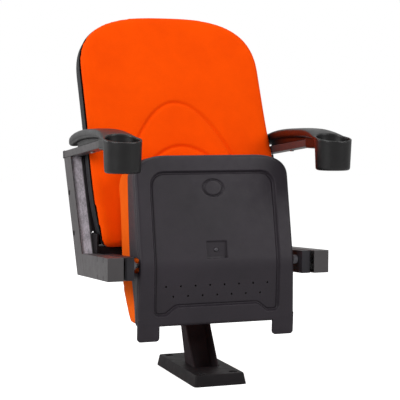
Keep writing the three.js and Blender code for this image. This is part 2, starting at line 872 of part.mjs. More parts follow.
function armrest() {
  const sections = armSectionShares.map(armSection);
  const tipX = armX + armWidth * armSectionShares[0][4];
  const pad = skin(sections, [tipX, armRearY, armTipZ], [armX, cupY, sections.at(-1)[0][2]]);
  const cupHigh = armTipZ + armRise;
  const cupOut = turned([
    [0, cupFootZ], [cupFootRadius - cupFoot, cupFootZ], [cupFootRadius - cupFoot * 0.3, cupFootZ + cupFoot * 0.3],
    [cupFootRadius, cupFootZ + cupFoot], [cupTopRadius, cupRimZ], [cupTopRadius, cupHigh], [0, cupHigh],
  ], cupSides).translate(armX, cupY, 0);
  const rimCut = block(-cupTopRadius * 2, cupTopRadius * 2, -cupTopRadius * 2, cupTopRadius * 2, 0, cupHigh)
    .rotateX(rad(cupRimSlope)).translate(armX, cupY, cupRimZ);
  const wrapRear = tubeFrontY + wrapLength;
  const wrapHigh = tubeRoof(wrapRear) - tubeFoot(tubeFrontY) + wrapRoof;
  const wrap = alongY(
    roundRect(tubeWidth / 2 + wrapWall, wrapHigh / 2, wrapCorner)
      .map(([x, z]) => [x + frameOuterX - tubeWidth / 2, z + tubeFoot(wrapRear) - wrapWall + wrapHigh / 2]),
    tubeFrontY - wrapFrontOver, wrapRear);
  const ribX = frameOuterX - tubeWidth / 2;
  const rib = alongX([
    [wrapRear - cutOver, tubeFoot(wrapRear)], [armRibRear, tubeFoot(armRibRear)],
    [armRibRear, armTipZ + armRise / 2], [wrapRear - cutOver, armTipZ + armRise / 2],
  ], ribX - armRibWide / 2, ribX + armRibWide / 2);
  const cupIn = turned([
    [0, cupFootZ + cupFloor], [cupFootRadius - cupWall - cupFoot / 2, cupFootZ + cupFloor],
    [cupFootRadius - cupWall, cupFootZ + cupFloor + cupFoot / 2], [cupTopRadius - cupWall, cupRimZ],
    [cupTopRadius - cupWall, cupHigh + cutOver], [0, cupHigh + cutOver],
  ], cupSides).translate(armX, cupY, 0);
  const pocketY = tubeFrontY - seatGap - tubeHigh * tan(tubeSlope);
  const pocketEnd = tubeRearY + capThick;
  const pocket = alongX([
    [pocketY, tubeFoot(pocketY) - seatGap], [pocketEnd, tubeFoot(pocketEnd) - seatGap],
    [pocketEnd, tubeRoof(pocketEnd) + seatGap], [pocketY, tubeRoof(pocketY) + seatGap],
  ], channelInnerX - seatGap, frameOuterX + seatGap);
  return cut(join(pad, cut(cupOut, rimCut), wrap, rib), cupIn, pocket, armScrewCutter(armScrewHole));
}

// Hinge housing: a box open to the rail, with its bush, stops, cover and studs
const housingOuterX = housingInnerX + housingWidth;
const housingRearY = housingFrontY + housingLength;

function housingProfile(inset) {
  const front = housingFrontY + inset;
  const rear = housingRearY - inset;
  return [
    [front, railFoot(front) + inset], [rear, railFoot(rear) + inset],
    [rear, railTop(rear) - inset], [front, railTop(front) - inset],
  ];
}

// A stop rib beside the cam's lug, at one end of the seat's travel
function stopRib(angle, sign) {
  const near = camLugWide / 2 + seatGap;
  const low = sign > 0 ? near : -near - stopWide;
  const rib = alongX(
    [[stopInner, low], [stopOuter, low], [stopOuter, low + stopWide], [stopInner, low + stopWide]],
    housingInnerX + housingWall / 2, housingOuterX - housingWall / 2);
  rib.rotateX(rad(angle));
  rib.translate(0, pivotY, pivotZ);
  return rib;
}

function hingeHousing() {
  const body = alongX(housingProfile(0), housingInnerX, housingOuterX);
  const inside = alongX(housingProfile(housingWall), housingInnerX + housingWall, housingOuterX + cutOver);
  const hole = layAlongX(roundBar(bushNeck + seatGap, housingInnerX - cutOver, housingInnerX + housingWall + cutOver))
    .translate(0, pivotY, pivotZ);
  const ribs = [stopRib(camRestAngle, -1), stopRib(camRestAngle + tipTravel, 1)];
  return cut(join(cut(body, inside), ...ribs), hole);
}

function housingCover() {
  return alongX(housingProfile(0), housingOuterX + seatGap, housingOuterX + seatGap + housingCoverThick);
}

function housingStud(y) {
  const low = housingOuterX + housingCoverThick + 2 * seatGap;
  const high = frameOuterX - frameWall - seatGap;
  return layAlongX(roundBar(studRadius, low, high, boltSides)).translate(0, y, railMid(y));
}

function pivotBush() {
  const bore = pinRadius + runGap;
  const face = housingInnerX - seatGap;
  const end = housingInnerX + bushNeckLong;
  return layAlongX(turned([
    [bore, face - bushReach], [bushBarrel - bushLip, face - bushReach], [bushBarrel, face - bushReach + bushLip],
    [bushBarrel, face], [bushNeck, face], [bushNeck, end], [bore, end], [bore, face - bushReach],
  ])).translate(0, pivotY, pivotZ);
}

const springStartX = housingInnerX + bushNeckLong + springWire + seatGap;
const springLength = springTurns * springPitch;
const camLowX = springStartX + springLength + springWire + seatGap;

// The coil goes round the pin, with one leg to the rear and one towards the cam's lug
class CoilCurve extends THREE.Curve {
  getPoint(t, target = new THREE.Vector3()) {
    const angle = 2 * Math.PI * springTurns * t;
    return target.set(
      springStartX + springLength * t, pivotY + springRadius * Math.cos(angle), pivotZ + springRadius * Math.sin(angle));
  }
}

function returnSpring() {
  const section = new THREE.Shape();
  section.absarc(0, 0, springWire, 0, 2 * Math.PI);
  return new THREE.ExtrudeGeometry(section, {
    steps: springTurns * springSteps, curveSegments: springSides, extrudePath: new CoilCurve(),
  });
}

function pivotPin() {
  const head = hubPlateX - seatGap;
  const end = camLowX + camThick + seatGap;
  const bar = turned([
    [0, head - pinHeadThick], [pinHeadRadius - bushLip, head - pinHeadThick], [pinHeadRadius, head - pinHeadThick + bushLip],
    [pinHeadRadius, head], [pinRadius, head], [pinRadius, end - bushLip], [pinRadius - bushLip, end], [0, end],
  ]);
  return layAlongX(bar);
}

// The cam's lug meets a stop rib at each end of the travel; it is given in the seat's own frame
function stopCam() {
  const disc = layAlongX(roundBar(camRadius, camLowX, camLowX + camThick));
  const half = camLugWide / 2;
  const lug = alongX([[0, -half], [camReach, -half], [camReach, half], [0, half]], camLowX, camLowX + camThick)
    .rotateX(rad(camRestAngle + seatTipped));
  const bore = layAlongX(roundBar(pinRadius + seatGap, camLowX - cutOver, camLowX + camThick + cutOver));
  return cut(join(disc, lug), bore);
}

// Back: half width at a height up the back
function backWidthAt(s) {
  if (s > backShoulder) {
    const share = (s - backShoulder) / (backLength - backShoulder);
    return backHalfWidth * Math.max(0, 1 - share ** backShoulderPower) ** (1 / backShoulderPower);
  }
  const low = Math.max(0, 1 - s / backFootBlend);
  return backHalfWidth - (backHalfWidth - backFootHalf) * low * low;
}

function backOutline() {
  const side = [];
  const cornerSteps = 3;
  for (let i = 0; i <= cornerSteps; i += 1) {
    const angle = rad(-90 + 90 * i / cornerSteps);
    side.push([
      backWidthAt(backFootCorner) - backFootCorner + backFootCorner * Math.cos(angle),
      backFootCorner + backFootCorner * Math.sin(angle),
    ]);
  }
  for (const share of [0.12, 0.24, 0.36, 1]) {
    side.push([backWidthAt(backShoulder * share), backShoulder * share]);
  }
  const topSteps = 14;
  for (let i = 1; i < topSteps; i += 1) {
    const angle = rad(90 * i / topSteps);
    side.push([
      backHalfWidth * Math.cos(angle) ** (2 / backShoulderPower),
      backShoulder + (backLength - backShoulder) * Math.sin(angle) ** (2 / backShoulderPower),
    ]);
  }
  const other = side.map(([x, s]) => [-x, s]).reverse();
  return [...side, [0, backLength], ...other];
}

const backRing = spread(backOutline(), backRingPoints);
const backCentre = [0, backCentreS];
const tuckAt = (s) => backTuck * Math.max(0, 1 - s / backTuckLength) ** 2;

// A ring of the back, moved in by a distance, at a depth behind the edge plane; the tuck fades to the rear
function backSlice(distance, depth, footRise = 0) {
  const fade = Math.min(1, (shellDepth - depth) / (shellDepth - seamDepth));
  return backRing.map((point) => {
    const [x, s] = inward(point, backCentre, distance);
    const up = Math.max(s, footRise);
    return [x, depth + fade * tuckAt(up), up];
  });
}

// Radius of an arched channel about the back's centre, found from its peak and its drop across the span
function archRadius(peak, drop, angle) {
  const bend = drop / archSpan ** 2 * Math.cos(angle) ** 2;
  const rise = peak - backCentreS;
  const sine = Math.sin(angle);
  if (bend * rise < 1e-6) {
    return rise / sine;
  }
  return (Math.sqrt(sine * sine + 4 * bend * rise) - sine) / (2 * bend);
}

function backCushion() {
  const seam = seamDepth - seatGap;
  const rings = [];
  rings.push(backSlice(backRearInsets[0], seam, backTuckLength));
  for (const inset of backRearInsets) {
    rings.push(backSlice(inset, seam));
  }
  const rounds = [0, 30, 60, 90];
  const rise = (share) => backCrown * (1 - share * share);
  rings.push(backSlice(-0.5, seam / 2));
  for (const degrees of rounds) {
    const inset = backCushionEdge * (1 - cos(degrees));
    const depth = backCushionEdge * (1 - Math.sin(rad(degrees))) - backCushionFront;
    rings.push(backRing.map((point) => {
      const full = Math.hypot(point[0], point[1] - backCentreS);
      const [x, s] = inward(point, backCentre, inset);
      return [x, depth - rise(1 - inset / full) + tuckAt(s), s];
    }));
  }
  const inner = [];
  for (let i = 0; i < backRing.length; i += 1) {
    const [px, ps] = backRing[i];
    const full = Math.hypot(px, ps - backCentreS);
    const angle = Math.atan2(ps - backCentreS, px);
    const upper = smooth((THREE.MathUtils.radToDeg(Math.asin((ps - backCentreS) / full)) - archFadeLow)
      / (archFadeHigh - archFadeLow));
    const lean = Math.atan2(Math.abs(ps - backCentreS), Math.abs(px));
    const edge = full - 2 * backCushionEdge;
    const outer = Math.min(archRadius(archOuterPeak, archOuterDrop, lean), edge * 0.8);
    const small = Math.min(archRadius(archInnerPeak, archInnerDrop, lean), outer - archSpace);
    const stops = [
      [(edge + outer) / 2 + archWide / 2, 0], [outer + archWide / 2, 0], [outer, archDeep * upper],
      [outer - archWide / 2, 0], [(outer + small) / 2, 0], [small + archWide / 2, 0], [small, archDeep * upper],
      [small - archWide / 2, 0], [small / 2, 0],
    ];
    inner.push(stops.map(([r, deep]) => {
      const x = r * Math.cos(angle);
      const s = backCentreS + r * Math.sin(angle);
      return [x, -backCushionFront - rise(r / full) + deep + tuckAt(s), s];
    }));
  }
  for (let k = 0; k < inner[0].length; k += 1) {
    rings.push(inner.map((stops) => stops[k]));
  }
  return skin(rings, [0, seam, backCentreS], [0, -backCushionFront - backCrown, backCentreS]);
}

function backBoardRing() {
  return backRing.map((point) => {
    const [x, s] = inward(point, backCentre, boardMargin);
    return [x, Math.max(s, backBoardFoot)];
  });
}

function backScrewPlaces() {
  return backScrewS.flatMap((s) => [[-backScrewX, s], [backScrewX, s]]);
}

function backBoard() {
  const holes = backScrewPlaces().map(([x, s]) => (
    backBar(backScrewHole, seamDepth + boardThick - backScrewBite, seamDepth + boardThick + cutOver, x, s)));
  return cut(alongY(backBoardRing(), seamDepth, seamDepth + boardThick), ...holes);
}

// A round bar through the back's depth
function backBar(radius, near, far, x, s, sides = boltSides) {
  return roundBar(radius, near, far, sides).rotateX(-Math.PI / 2).translate(x, 0, s);
}

function backShell() {
  const rim = seamDepth;
  const foot = (depth) => shellFootRise * depth / shellDepth;
  const outer = [
    backSlice(-shellProud, rim, foot(rim)), backSlice(-shellProud, shellSideDepth, foot(shellSideDepth)),
    backSlice(shellEdgeIn - shellProud, shellMidDepth, foot(shellMidDepth)),
    backSlice(shellRearIn, shellDepth, foot(shellDepth)),
  ];
  const inFoot = (depth) => foot(depth) + 2 * shellWall;
  const inner = [
    backSlice(shellRearIn + shellWall, shellDepth - shellWall, inFoot(shellDepth)),
    backSlice(shellEdgeIn + shellWall / 2, shellMidDepth - shellWall, inFoot(shellMidDepth)),
    backSlice(shellWall - shellProud, shellSideDepth - shellWall, inFoot(shellSideDepth)),
    backSlice(shellWall - shellProud, rim, inFoot(rim)),
  ];
  const body = skin([...outer, ...inner.slice(0, 0)], [0, rim, backCentreS], [0, shellDepth, backCentreS]);
  const mouth = backSlice(shellWall - shellProud, rim - cutOver, inFoot(rim));
  const hollow = skin([...inner, mouth], [0, shellDepth - shellWall, backCentreS], [0, rim - cutOver, backCentreS]);
  const bosses = backScrewPlaces().map(([x, s]) => (
    backBar(shellBoss, seamDepth + boardThick + seatGap, shellDepth - shellWall / 2, x, s)));
  const holes = backScrewPlaces().map(([x, s]) => (
    backBar(backScrewHole, seamDepth + boardThick - cutOver, shellDepth + cutOver, x, s)));
  return cut(join(cut(body, hollow), ...bosses), ...holes);
}

// Bracket: one leg flat on the shell's rear, the other beside the upright's inner flange
function backBracket() {
  const near = shellDepth + seatGap;
  const far = near + bracketDepth;
  const outerX = channelInnerX - seatGap;
  const plan = [
    [bracketInnerX, near], [outerX, near], [outerX, far], [outerX - bracketThick, far],
    [outerX - bracketThick, near + bracketThick], [bracketInnerX, near + bracketThick],
  ];
  const heelX = outerX - endPlateThick - seatGap;
  const heel = alongZ(
    [[bracketInnerX, near], [heelX, near], [heelX, near + bracketThick], [bracketInnerX, near + bracketThick]],
    bracketHeel, bracketFoot + bracketThick);
  const holes = backScrewPlaces().map(([x, s]) => backBar(backScrewHole, near - cutOver, near + bracketThick + cutOver, x, s));
  return cut(join(alongZ(plan, bracketFoot, bracketTop), heel), ...holes);
}

function backScrew(x, s) {
  const seat = shellDepth + bracketThick + 2 * seatGap;
  const near = seamDepth + boardThick - backScrewBite + seatGap;
  return turned([
    [0, near], [backScrewShank, near], [backScrewShank, seat], [backScrewHead, seat],
    [backScrewHead, seat + backScrewHeadHigh / 2], [backScrewHead * 0.7, seat + backScrewHeadHigh],
    [0, seat + backScrewHeadHigh],
  ], boltSides).rotateX(-Math.PI / 2).translate(x, 0, s);
}

// Seat pan: underside of two planes that meet at a keel under the pivot
const panCentre = [0, panKeelY];
const panUnder = (y) => (y < panKeelY
  ? -panKeel + panFrontRise * (panKeelY - y) / (panFront + panKeelY)
  : -panKeel + panRearRise * (y - panKeelY) / (panRear - panKeelY));
const panRimAt = (y) => panRim - panRimDrop * ((y + panRimMid) / panFront) ** 2;

function panOutline() {
  const side = [];
  const frontSteps = 12;
  for (let i = 0; i <= frontSteps; i += 1) {
    const angle = rad(90 * i / frontSteps);
    side.push([
      panFlatHalf + (panHalf - panFlatHalf) * Math.sin(angle) ** (2 / panFrontPower),
      -panFrontSide - (panFront - panFrontSide) * Math.cos(angle) ** (2 / panFrontPower),
    ]);
  }
  side.push([panHalf, panTaper]);
  const cornerSteps = 4;
  for (let i = 0; i <= cornerSteps; i += 1) {
    const angle = rad(90 * i / cornerSteps);
    side.push([
      panRearHalf - panRearCorner + panRearCorner * Math.cos(angle),
      panRear - panRearCorner + panRearCorner * Math.sin(angle),
    ]);
  }
  const other = side.map(([x, y]) => [-x, y]).reverse();
  return [...side, ...other];
}

// The recessed panel: round corners at the front, a stepped notch at the rear
function panelOutline(inset) {
  const half = panelHalf - inset;
  const front = panelFront - inset;
  const corner = panelCorner - inset;
  const side = [];
  const cornerSteps = 5;
  for (let i = 0; i <= cornerSteps; i += 1) {
    const angle = rad(90 * i / cornerSteps);
    side.push([half - corner + corner * Math.sin(angle), -front + corner - corner * Math.cos(angle)]);
  }
  side.push([half, panKeelY], [half, panelRear - inset], [panelNotchTop, panelRear - inset]);
  side.push([panelNotchHalf, panelNotch - inset]);
  const other = side.map(([x, y]) => [-x, y]).reverse();
  return [...side, ...other];
}

const panOuter = panOutline();
const angleOf = ([x, y]) => Math.atan2(y - panKeelY, x);

// Ring angles: the outline's own corners and the keel's ends, with evenly spread ones between
function panAngles() {
  const angles = [...panOuter.map(angleOf), 0, Math.PI];
  const least = Math.PI / panRingPoints / 2;
  for (const angle of spread(panOuter, panRingPoints).map(angleOf)) {
    if (angles.every((other) => Math.abs(other - angle) > least)) {
      angles.push(angle);
    }
  }
  return angles.sort((a, b) => a - b);
}

const panAngleList = panAngles();

function ringAt(radiusOf, heightOf) {
  return panAngleList.map((angle) => {
    const radius = radiusOf(angle);
    const x = radius * Math.cos(angle);
    const y = panKeelY + radius * Math.sin(angle);
    return [x, y, heightOf(y, x)];
  });
}

const panReach = (inset) => (angle) => reach(panOuter, panCentre, angle) - inset;

function panShell() {
  const under = (rise) => (y) => panUnder(y) + rise;
  const outside = [
    ringAt(panReach(panEdge), under(0)), ringAt(panReach(panEdge * 0.3), under(panEdge * 0.3)),
    ringAt(panReach(0), under(panEdge)), ringAt(panReach(0), panRimAt),
  ];
  const inside = [
    ringAt(panReach(panWall), panRimAt), ringAt(panReach(panWall), under(panEdge + panWall)),
    ringAt(panReach(panEdge + panWall), under(panWall)),
  ];
  return skin([...outside, ...inside], [0, panKeelY, -panKeel], [0, panKeelY, panWall - panKeel]);
}

// A body between two outlines of the panel, each at its own rise over the pan's underside
function panelBody(lowInset, lowRise, highInset, highRise) {
  const level = (inset, rise) => panelOutline(inset).map(([x, y]) => [x, y, panUnder(y) + rise]);
  return skin(
    [level(lowInset, lowRise), level(highInset, highRise)],
    [0, panKeelY, lowRise - panKeel], [0, panKeelY, highRise - panKeel]);
}

function footTab() {
  const slope = Math.atan(panRearRise / (panRear - panKeelY));
  const halfX = (footTabOuter - footTabInner) / 2;
  const halfY = (footTabEnd - footTabStart) / 2;
  const tab = alongZ(roundRect(halfX, halfY, footTabCorner), 0, footTabThick);
  tab.translate((footTabInner + footTabOuter) / 2, (footTabEnd + footTabStart) / 2 - panKeelY, 0);
  tab.rotateX(slope);
  tab.translate(0, panKeelY, -panKeel);
  return tab;
}

function ventHoles() {
  const holes = [];
  for (const { rear, count } of ventRows) {
    for (let i = 0; i < count; i += 1) {
      const x = (i - (count - 1) / 2) * ventSpacing;
      holes.push(roundBar(ventRadius, -panKeel - cutOver, panelStep + panWall, ventSides).translate(x, rear, 0));
    }
  }
  return holes;
}

function ovalGroove() {
  const ring = (halfX, halfY) => {
    const points = [];
    for (let i = 0; i < roundSides; i += 1) {
      const angle = 2 * Math.PI * i / roundSides;
      points.push([halfX * Math.cos(angle), -ovalFront + halfY * Math.sin(angle)]);
    }
    return points;
  };
  const floor = panUnder(-ovalFront) + panelStep + ovalDeep;
  return alongZ(
    ring(ovalHalfX, ovalHalfY), -panKeel, floor, ring(ovalHalfX - ovalRing, ovalHalfY - ovalRing).reverse());
}

const squareFloor = panUnder(-squareFront) + panelStep + squareDeep;

function seatPan() {
  const shell = panShell();
  const island = panelBody(-panWall, panWall / 2, panelSlope - panWall, panelStep + panWall);
  const recess = panelBody(-panelSlope * cutOver / panelStep, -cutOver, panelSlope, panelStep);
  const adds = [island, footTab(), mirrored(footTab())];
  const squareRoof = squareFloor + panWall;
  adds.push(block(
    -squareHalfX - panWall, squareHalfX + panWall, -squareFront - squareHalfY - panWall, -squareFront + squareHalfY + panWall,
    panUnder(-squareFront) + panelStep + panWall / 2, squareRoof));
  const bossTop = seatBoardBottom - seatGap;
  adds.push(roundBar(panBoss, squareFloor + panWall / 2, bossTop, boltSides).translate(0, -squareFront, 0));
  for (const y of panBossY) {
    for (const x of [-panBossX, panBossX]) {
      adds.push(roundBar(panBoss, panUnder(y) + panelStep + panWall / 2, bossTop, boltSides).translate(x, y, 0));
    }
  }
  const notch = alongX(
    [...halfRound(notchRadius), [-notchRadius, 2 * panRim], [notchRadius, 2 * panRim]],
    hubPlateX + hubPlateThick, panRearHalf + cutOver);
  const square = block(
    -squareHalfX, squareHalfX, -squareFront - squareHalfY, -squareFront + squareHalfY, -panKeel - cutOver, squareFloor);
  const screw = roundBar(panScrewHole, squareFloor - cutOver, bossTop + cutOver, boltSides).translate(0, -squareFront, 0);
  return cut(join(shell, ...adds), recess, notch, mirrored(notch), ovalGroove(), square, screw, ...ventHoles());
}

// The lower half of a circle as [y, z] points, from +y round below to -y
function halfRound(radius) {
  const points = [];
  const steps = 8;
  for (let i = 0; i <= steps; i += 1) {
    const angle = -Math.PI * i / steps;
    points.push([radius * Math.cos(angle), radius * Math.sin(angle)]);
  }
  return points;
}

function panScrew() {
  const seat = squareFloor - seatGap;
  const top = seatBoardBottom + panScrewBite;
  return turned([
    [0, seat - panScrewHeadHigh], [panScrewHead * 0.7, seat - panScrewHeadHigh], [panScrewHead, seat - panScrewHeadHigh / 2],
    [panScrewHead, seat], [panScrewShank, seat], [panScrewShank, top], [0, top],
  ], boltSides).translate(0, -squareFront, 0);
}

function seatBoard() {
  const ring = ringAt(panReach(seatBoardMargin), () => 0).map(([x, y]) => [x, y]);
  const pilot = roundBar(panScrewHole, seatBoardBottom - cutOver, seatBoardBottom + panScrewBite + seatGap, boltSides)
    .translate(0, -squareFront, 0);
  return cut(alongZ(ring, seatBoardBottom, seatBoardBottom + seatBoardThick), pilot);
}

// Hub plate: a flange under the board and a cheek that the pin goes through
function hubPlate() {
  const top = seatBoardBottom - seatGap;
  const outer = hubPlateX + hubPlateThick;
  const flange = block(outer - hubFlange, outer, -hubPlateHalf, hubPlateHalf, top - hubFlangeThick, top);
  const cheek = alongX(
    [...halfRound(hubPlateFoot), [-hubPlateHalf, top - hubFlangeThick / 2], [hubPlateHalf, top - hubFlangeThick / 2]],
    hubPlateX, outer);
  const bore = layAlongX(roundBar(pinRadius + seatGap, hubPlateX - cutOver, outer + cutOver));
  return cut(join(flange, cheek), bore);
}

// Seat cushion: it fills the pan, wraps down round the board and is crowned on top
function seatRoundAt(angle) {
  return seatSideRound + (seatFrontRound - seatSideRound) * smooth((-Math.sin(angle) - 0.3) / 0.6);
}

// The rear is one long roll down to the pan, so that the seat clears the back as it tips
function rolled([x, y, z]) {
  const start = panRear - seatRollIn - seatRoll;
  const share = Math.max(0, (y - start) / (panRear - seatSideIn - start));
  const top = seatTop + seatCrown - (seatTop + seatCrown - seatRollEnd) * share ** seatRollPower;
  return [x, share > 0 ? start + seatRoll * share : y, Math.min(z, top)];
}

function seatCushion() {
  const boardTop = seatBoardBottom + seatBoardThick + seatGap;
  const inBoard = panReach(seatBoardMargin - 2 * seatRimGap);
  const inWall = panReach(panWall + seatRimGap);
  const skirt = (y) => panUnder(y) + panWall + panEdge + seatSkirt;
  const rings = [
    ringAt(inBoard, () => boardTop), ringAt(inBoard, skirt), ringAt(inWall, skirt),
    ringAt(inWall, (y) => panRimAt(y) + seatRimGap),
    ringAt(panReach(seatSideIn), (y) => panRimAt(y) + 3 * seatRimGap).map(rolled),
  ];
  for (const degrees of [0, 30, 60, 90]) {
    rings.push(panAngleList.map((angle) => {
      const round = seatRoundAt(angle);
      const full = reach(panOuter, panCentre, angle) - seatSideIn;
      const radius = full - round * (1 - cos(degrees));
      const x = radius * Math.cos(angle);
      const y = panKeelY + radius * Math.sin(angle);
      const share = radius / full;
      return rolled([x, y, seatTop - round * (1 - Math.sin(rad(degrees))) + seatCrown * (1 - share * share)]);
    }));
  }
  for (const share of [0.6, 0.3]) {
    rings.push(ringAt((angle) => share * panReach(seatSideIn)(angle), () => seatTop + seatCrown * (1 - share * share)).map(rolled));
  }
  const whole = skin(rings, [0, panKeelY, boardTop], [0, panKeelY, seatTop + seatCrown]);
  const outer = hubPlateX + hubPlateThick;
  const half = hubPlateHalf + hubPocketGap;
  const pocket = block(
    outer - hubFlange, outer + hubPocketGap, -half, half, -panKeel, hubPocketTop + hubPocketGap);
  const bore = layAlongX(roundBar(pinRadius + hubPocketGap, hubPlateX, panHalf + cutOver));
  return cut(whole, pocket, mirrored(pocket), bore, mirrored(bore));
}

// The standing frame
place('foot_plate', footPlate(), blackSteel);
place('foot_cover', footCover(), blackSteel);
floorBoltPlaces().forEach(([x, y], i) => place(`floor_bolt_${i + 1}`, floorBolt(x, y), boltSteel));
place('post', post(), blackSteel);
place('head_plate', headPlate(), blackSteel);
placePair('head_bolt', headBolt(), boltSteel);
place('cross_beam', crossBeam(), blackSteel);
placePair('beam_end_plate', beamEndPlate(), blackSteel);
placePair('stop_bumper', stopBumper(), rubber);
placePair('upright', upright(), greySteel);
placePair('side_rail', sideRail(), greySteel);
placePair('hinge_housing', hingeHousing(), blackPlastic);
placePair('housing_cover', housingCover(), blackPlastic);
studY.forEach((y, i) => placePair(`housing_stud_${i + 1}`, housingStud(y), boltSteel));
placePair('pivot_bush', pivotBush(), blackPlastic);
placePair('return_spring', returnSpring(), boltSteel);
placePair('arm_tube', armTube(), greySteel);
placePair('arm_tube_cap', armTubeCap(), blackPlastic);
placePair('arm_screw', armScrew(), boltSteel);
placePair('armrest', armrest(), blackPlastic);

// The back
place('back_cushion', backCushion(), orangeCloth, backGroup);
place('back_board', backBoard(), plywood, backGroup);
place('back_shell', backShell(), blackPlastic, backGroup);
placePair('back_bracket', backBracket(), blackSteel, backGroup);
backScrewPlaces().forEach(([x, s], i) => place(`back_screw_${i + 1}`, backScrew(x, s), boltSteel, backGroup));

// The tipping seat
place('seat_pan', seatPan(), panPlastic, tipGroup);
place('seat_cushion', seatCushion(), orangeCloth, tipGroup);
place('seat_board', seatBoard(), plywood, tipGroup);
placePair('hub_plate', hubPlate(), blackSteel, tipGroup);
placePair('pivot_pin', pivotPin(), boltSteel, tipGroup);
placePair('stop_cam', stopCam(), blackSteel, tipGroup);
place('pan_screw', panScrew(), boltSteel, tipGroup);

export default seatUnit;
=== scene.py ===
import math

import bpy
import numpy as np
from mathutils import Matrix, Vector


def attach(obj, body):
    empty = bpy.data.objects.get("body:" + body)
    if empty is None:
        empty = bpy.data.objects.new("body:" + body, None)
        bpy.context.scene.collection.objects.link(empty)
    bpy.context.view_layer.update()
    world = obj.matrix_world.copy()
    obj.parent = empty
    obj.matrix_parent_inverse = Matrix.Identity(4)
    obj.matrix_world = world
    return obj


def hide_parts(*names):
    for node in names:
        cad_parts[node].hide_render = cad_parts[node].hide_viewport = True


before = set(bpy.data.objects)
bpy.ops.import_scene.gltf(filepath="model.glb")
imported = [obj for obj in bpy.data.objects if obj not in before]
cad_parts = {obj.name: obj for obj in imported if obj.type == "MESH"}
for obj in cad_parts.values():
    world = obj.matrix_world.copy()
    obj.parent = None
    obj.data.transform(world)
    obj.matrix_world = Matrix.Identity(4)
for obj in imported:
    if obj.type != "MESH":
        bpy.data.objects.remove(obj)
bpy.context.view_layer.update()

# Every length is in millimetres until it becomes a mesh; lamps stand in metres
MM = 0.001
RNG = np.random.default_rng(20)

# Back: the plane that its edge lies in, and its outline there, s being the way up that plane
BACK_Y, BACK_Z, BACK_LEAN = 42.7, 355.0, math.radians(23.6)
BACK_LONG, BACK_HALF, BACK_FOOT_HALF, BACK_FOOT_BLEND = 685.0, 267.0, 253.0, 150.0
BACK_SHOULDER, BACK_POWER, BACK_CORNER = 500.0, 2.8, 24.0
HIP_SWELL, HIP_S, HIP_LONG = 4.0, 200.0, 110.0
BACK_CENTRE_S, BACK_TUCK, BACK_TUCK_LONG = 150.0, 18.0, 110.0

# Back cushion: the round of its edge, where it ends at the rear, its crowned face and two sewn arches,
# each with its peak and how far it drops at ARCH_HALF from its middle
PAD_WIDER, PAD_EDGE, PAD_REAR, PAD_FACE, PAD_CROWN = 2.2, 22.0, 10.0, -12.0, 12.0
ARCHES, ARCH_HALF, ARCH_SHIFT = ((407.0, 114.0), (274.0, 84.0)), 124.0, 10.0
ARCH_DEEP, ARCH_WIDE, ARCH_HOLLOW, ARCH_HOLLOW_WIDE = 5.5, 4.2, 1.2, 13.0

# Back shell: where it meets the cushion, its rear face, wall, rear edge's round and the rise of its foot
SEAM_DEPTH, SHELL_DEPTH, SHELL_WALL, SHELL_EDGE, SHELL_RISE = 12.0, 60.0, 3.0, 18.0, 48.0

# Seat: it tips about the pivot, and at rest it stands up. Its own frame has y to its rear and z up
PIVOT_Y, PIVOT_Z, TIPPED = -112.0, 318.0, math.radians(-96.5)
PAN_HALF, PAN_REAR_HALF, PAN_FLAT, PAN_TAPER_Y = 214.0, 218.0, 116.0, 12.0
PAN_SIDE, PAN_FRONT, PAN_REAR = 222.0, 282.0, 160.0
PAN_CORNER, PAN_POWER, PAN_EDGE, PAN_WALL = 14.0, 2.5, 9.0, 4.0
KEEL_Y, KEEL_Z, KEEL_BLEND = 5.0, -28.0, 16.0
FRONT_RISE, REAR_RISE, REAR_RISE_Y = 24.0, 26.0, 158.0
RIM_HIGH, RIM_Y, RIM_FALL, RIM_DIP, RIM_DIP_Y = 63.0, -30.0, 10.0, 38.0, 150.0
PANEL_HALF, PANEL_FRONT, PANEL_REAR, PANEL_CORNER, PANEL_STEP = 176.0, 241.0, 135.0, 40.0, 7.0
SQUARE_Y, SQUARE_HALF_X, SQUARE_HALF_Y, SQUARE_DEEP = -33.0, 28.5, 23.0, 13.0
OVAL_Y, OVAL_HALF_X, OVAL_HALF_Y, OVAL_DEEP = -195.5, 27.0, 21.5, 3.6
VENT_RADIUS, VENT_STEP, VENT_ROWS = 2.6, 40.3, ((58.0, 8), (84.0, 7))
TAB_OUTER, TAB_INNER, TAB_START, TAB_END, TAB_ROUND = 217.0, 158.0, 136.0, 196.0, 9.0
NOTCH_RADIUS, NOTCH_INNER, NOTCH_OUTER = 20.0, 191.0, 225.0

# Seat cushion: the board's top, the cushion's own top and crown, and the long roll at its rear
BOARD_TOP, SEAT_TOP, SEAT_CROWN = 30.5, 149.0, 2.5
ROLL_FALL, ROLL_POWER, ROLL_IN = 89.5, 1.6, 8.0

# Armrests: the pad, the cup holder at its tip, and the tube that the sleeve goes round
ARM_X, ARM_REAR_Y, ARM_TIP_Z, ARM_RISE, ARM_WIDE, ARM_POWER = 284.0, 236.0, 626.0, 38.0, 51.0, 3.2
CUP_Y, CUP_TOP, CUP_FOOT, CUP_SLOPE = -222.0, 48.4, 45.0, math.radians(10)
CUP_FOOT_Z, CUP_FLOOR_Z, CUP_RIM_Z, CUP_BLANK_Z = 560.5, 566.0, 645.0, 666.0
TUBE_X, TUBE_HALF, TUBE_HIGH, TUBE_SLOPE, TUBE_GAP = 287.5, 17.5, 20.0, math.radians(6), 0.3
TUBE_FRONT_Y, TUBE_REAR_Y, TUBE_REAR_Z = -168.0, 215.0, 587.0

# Side frames: the uprights' lean, the edges of their recessed front wall and the plugs in their sides
UPRIGHT_LEAN = math.radians(25)
WALL_INNER, WALL_OUTER, WALL_BLEND = 273.5, 301.5, 0.7
PLUG_X, PLUG_RADIUS, PLUG_PLACES = 305.2, 7.5, ((231.2, 485.0), (180.8, 377.0))

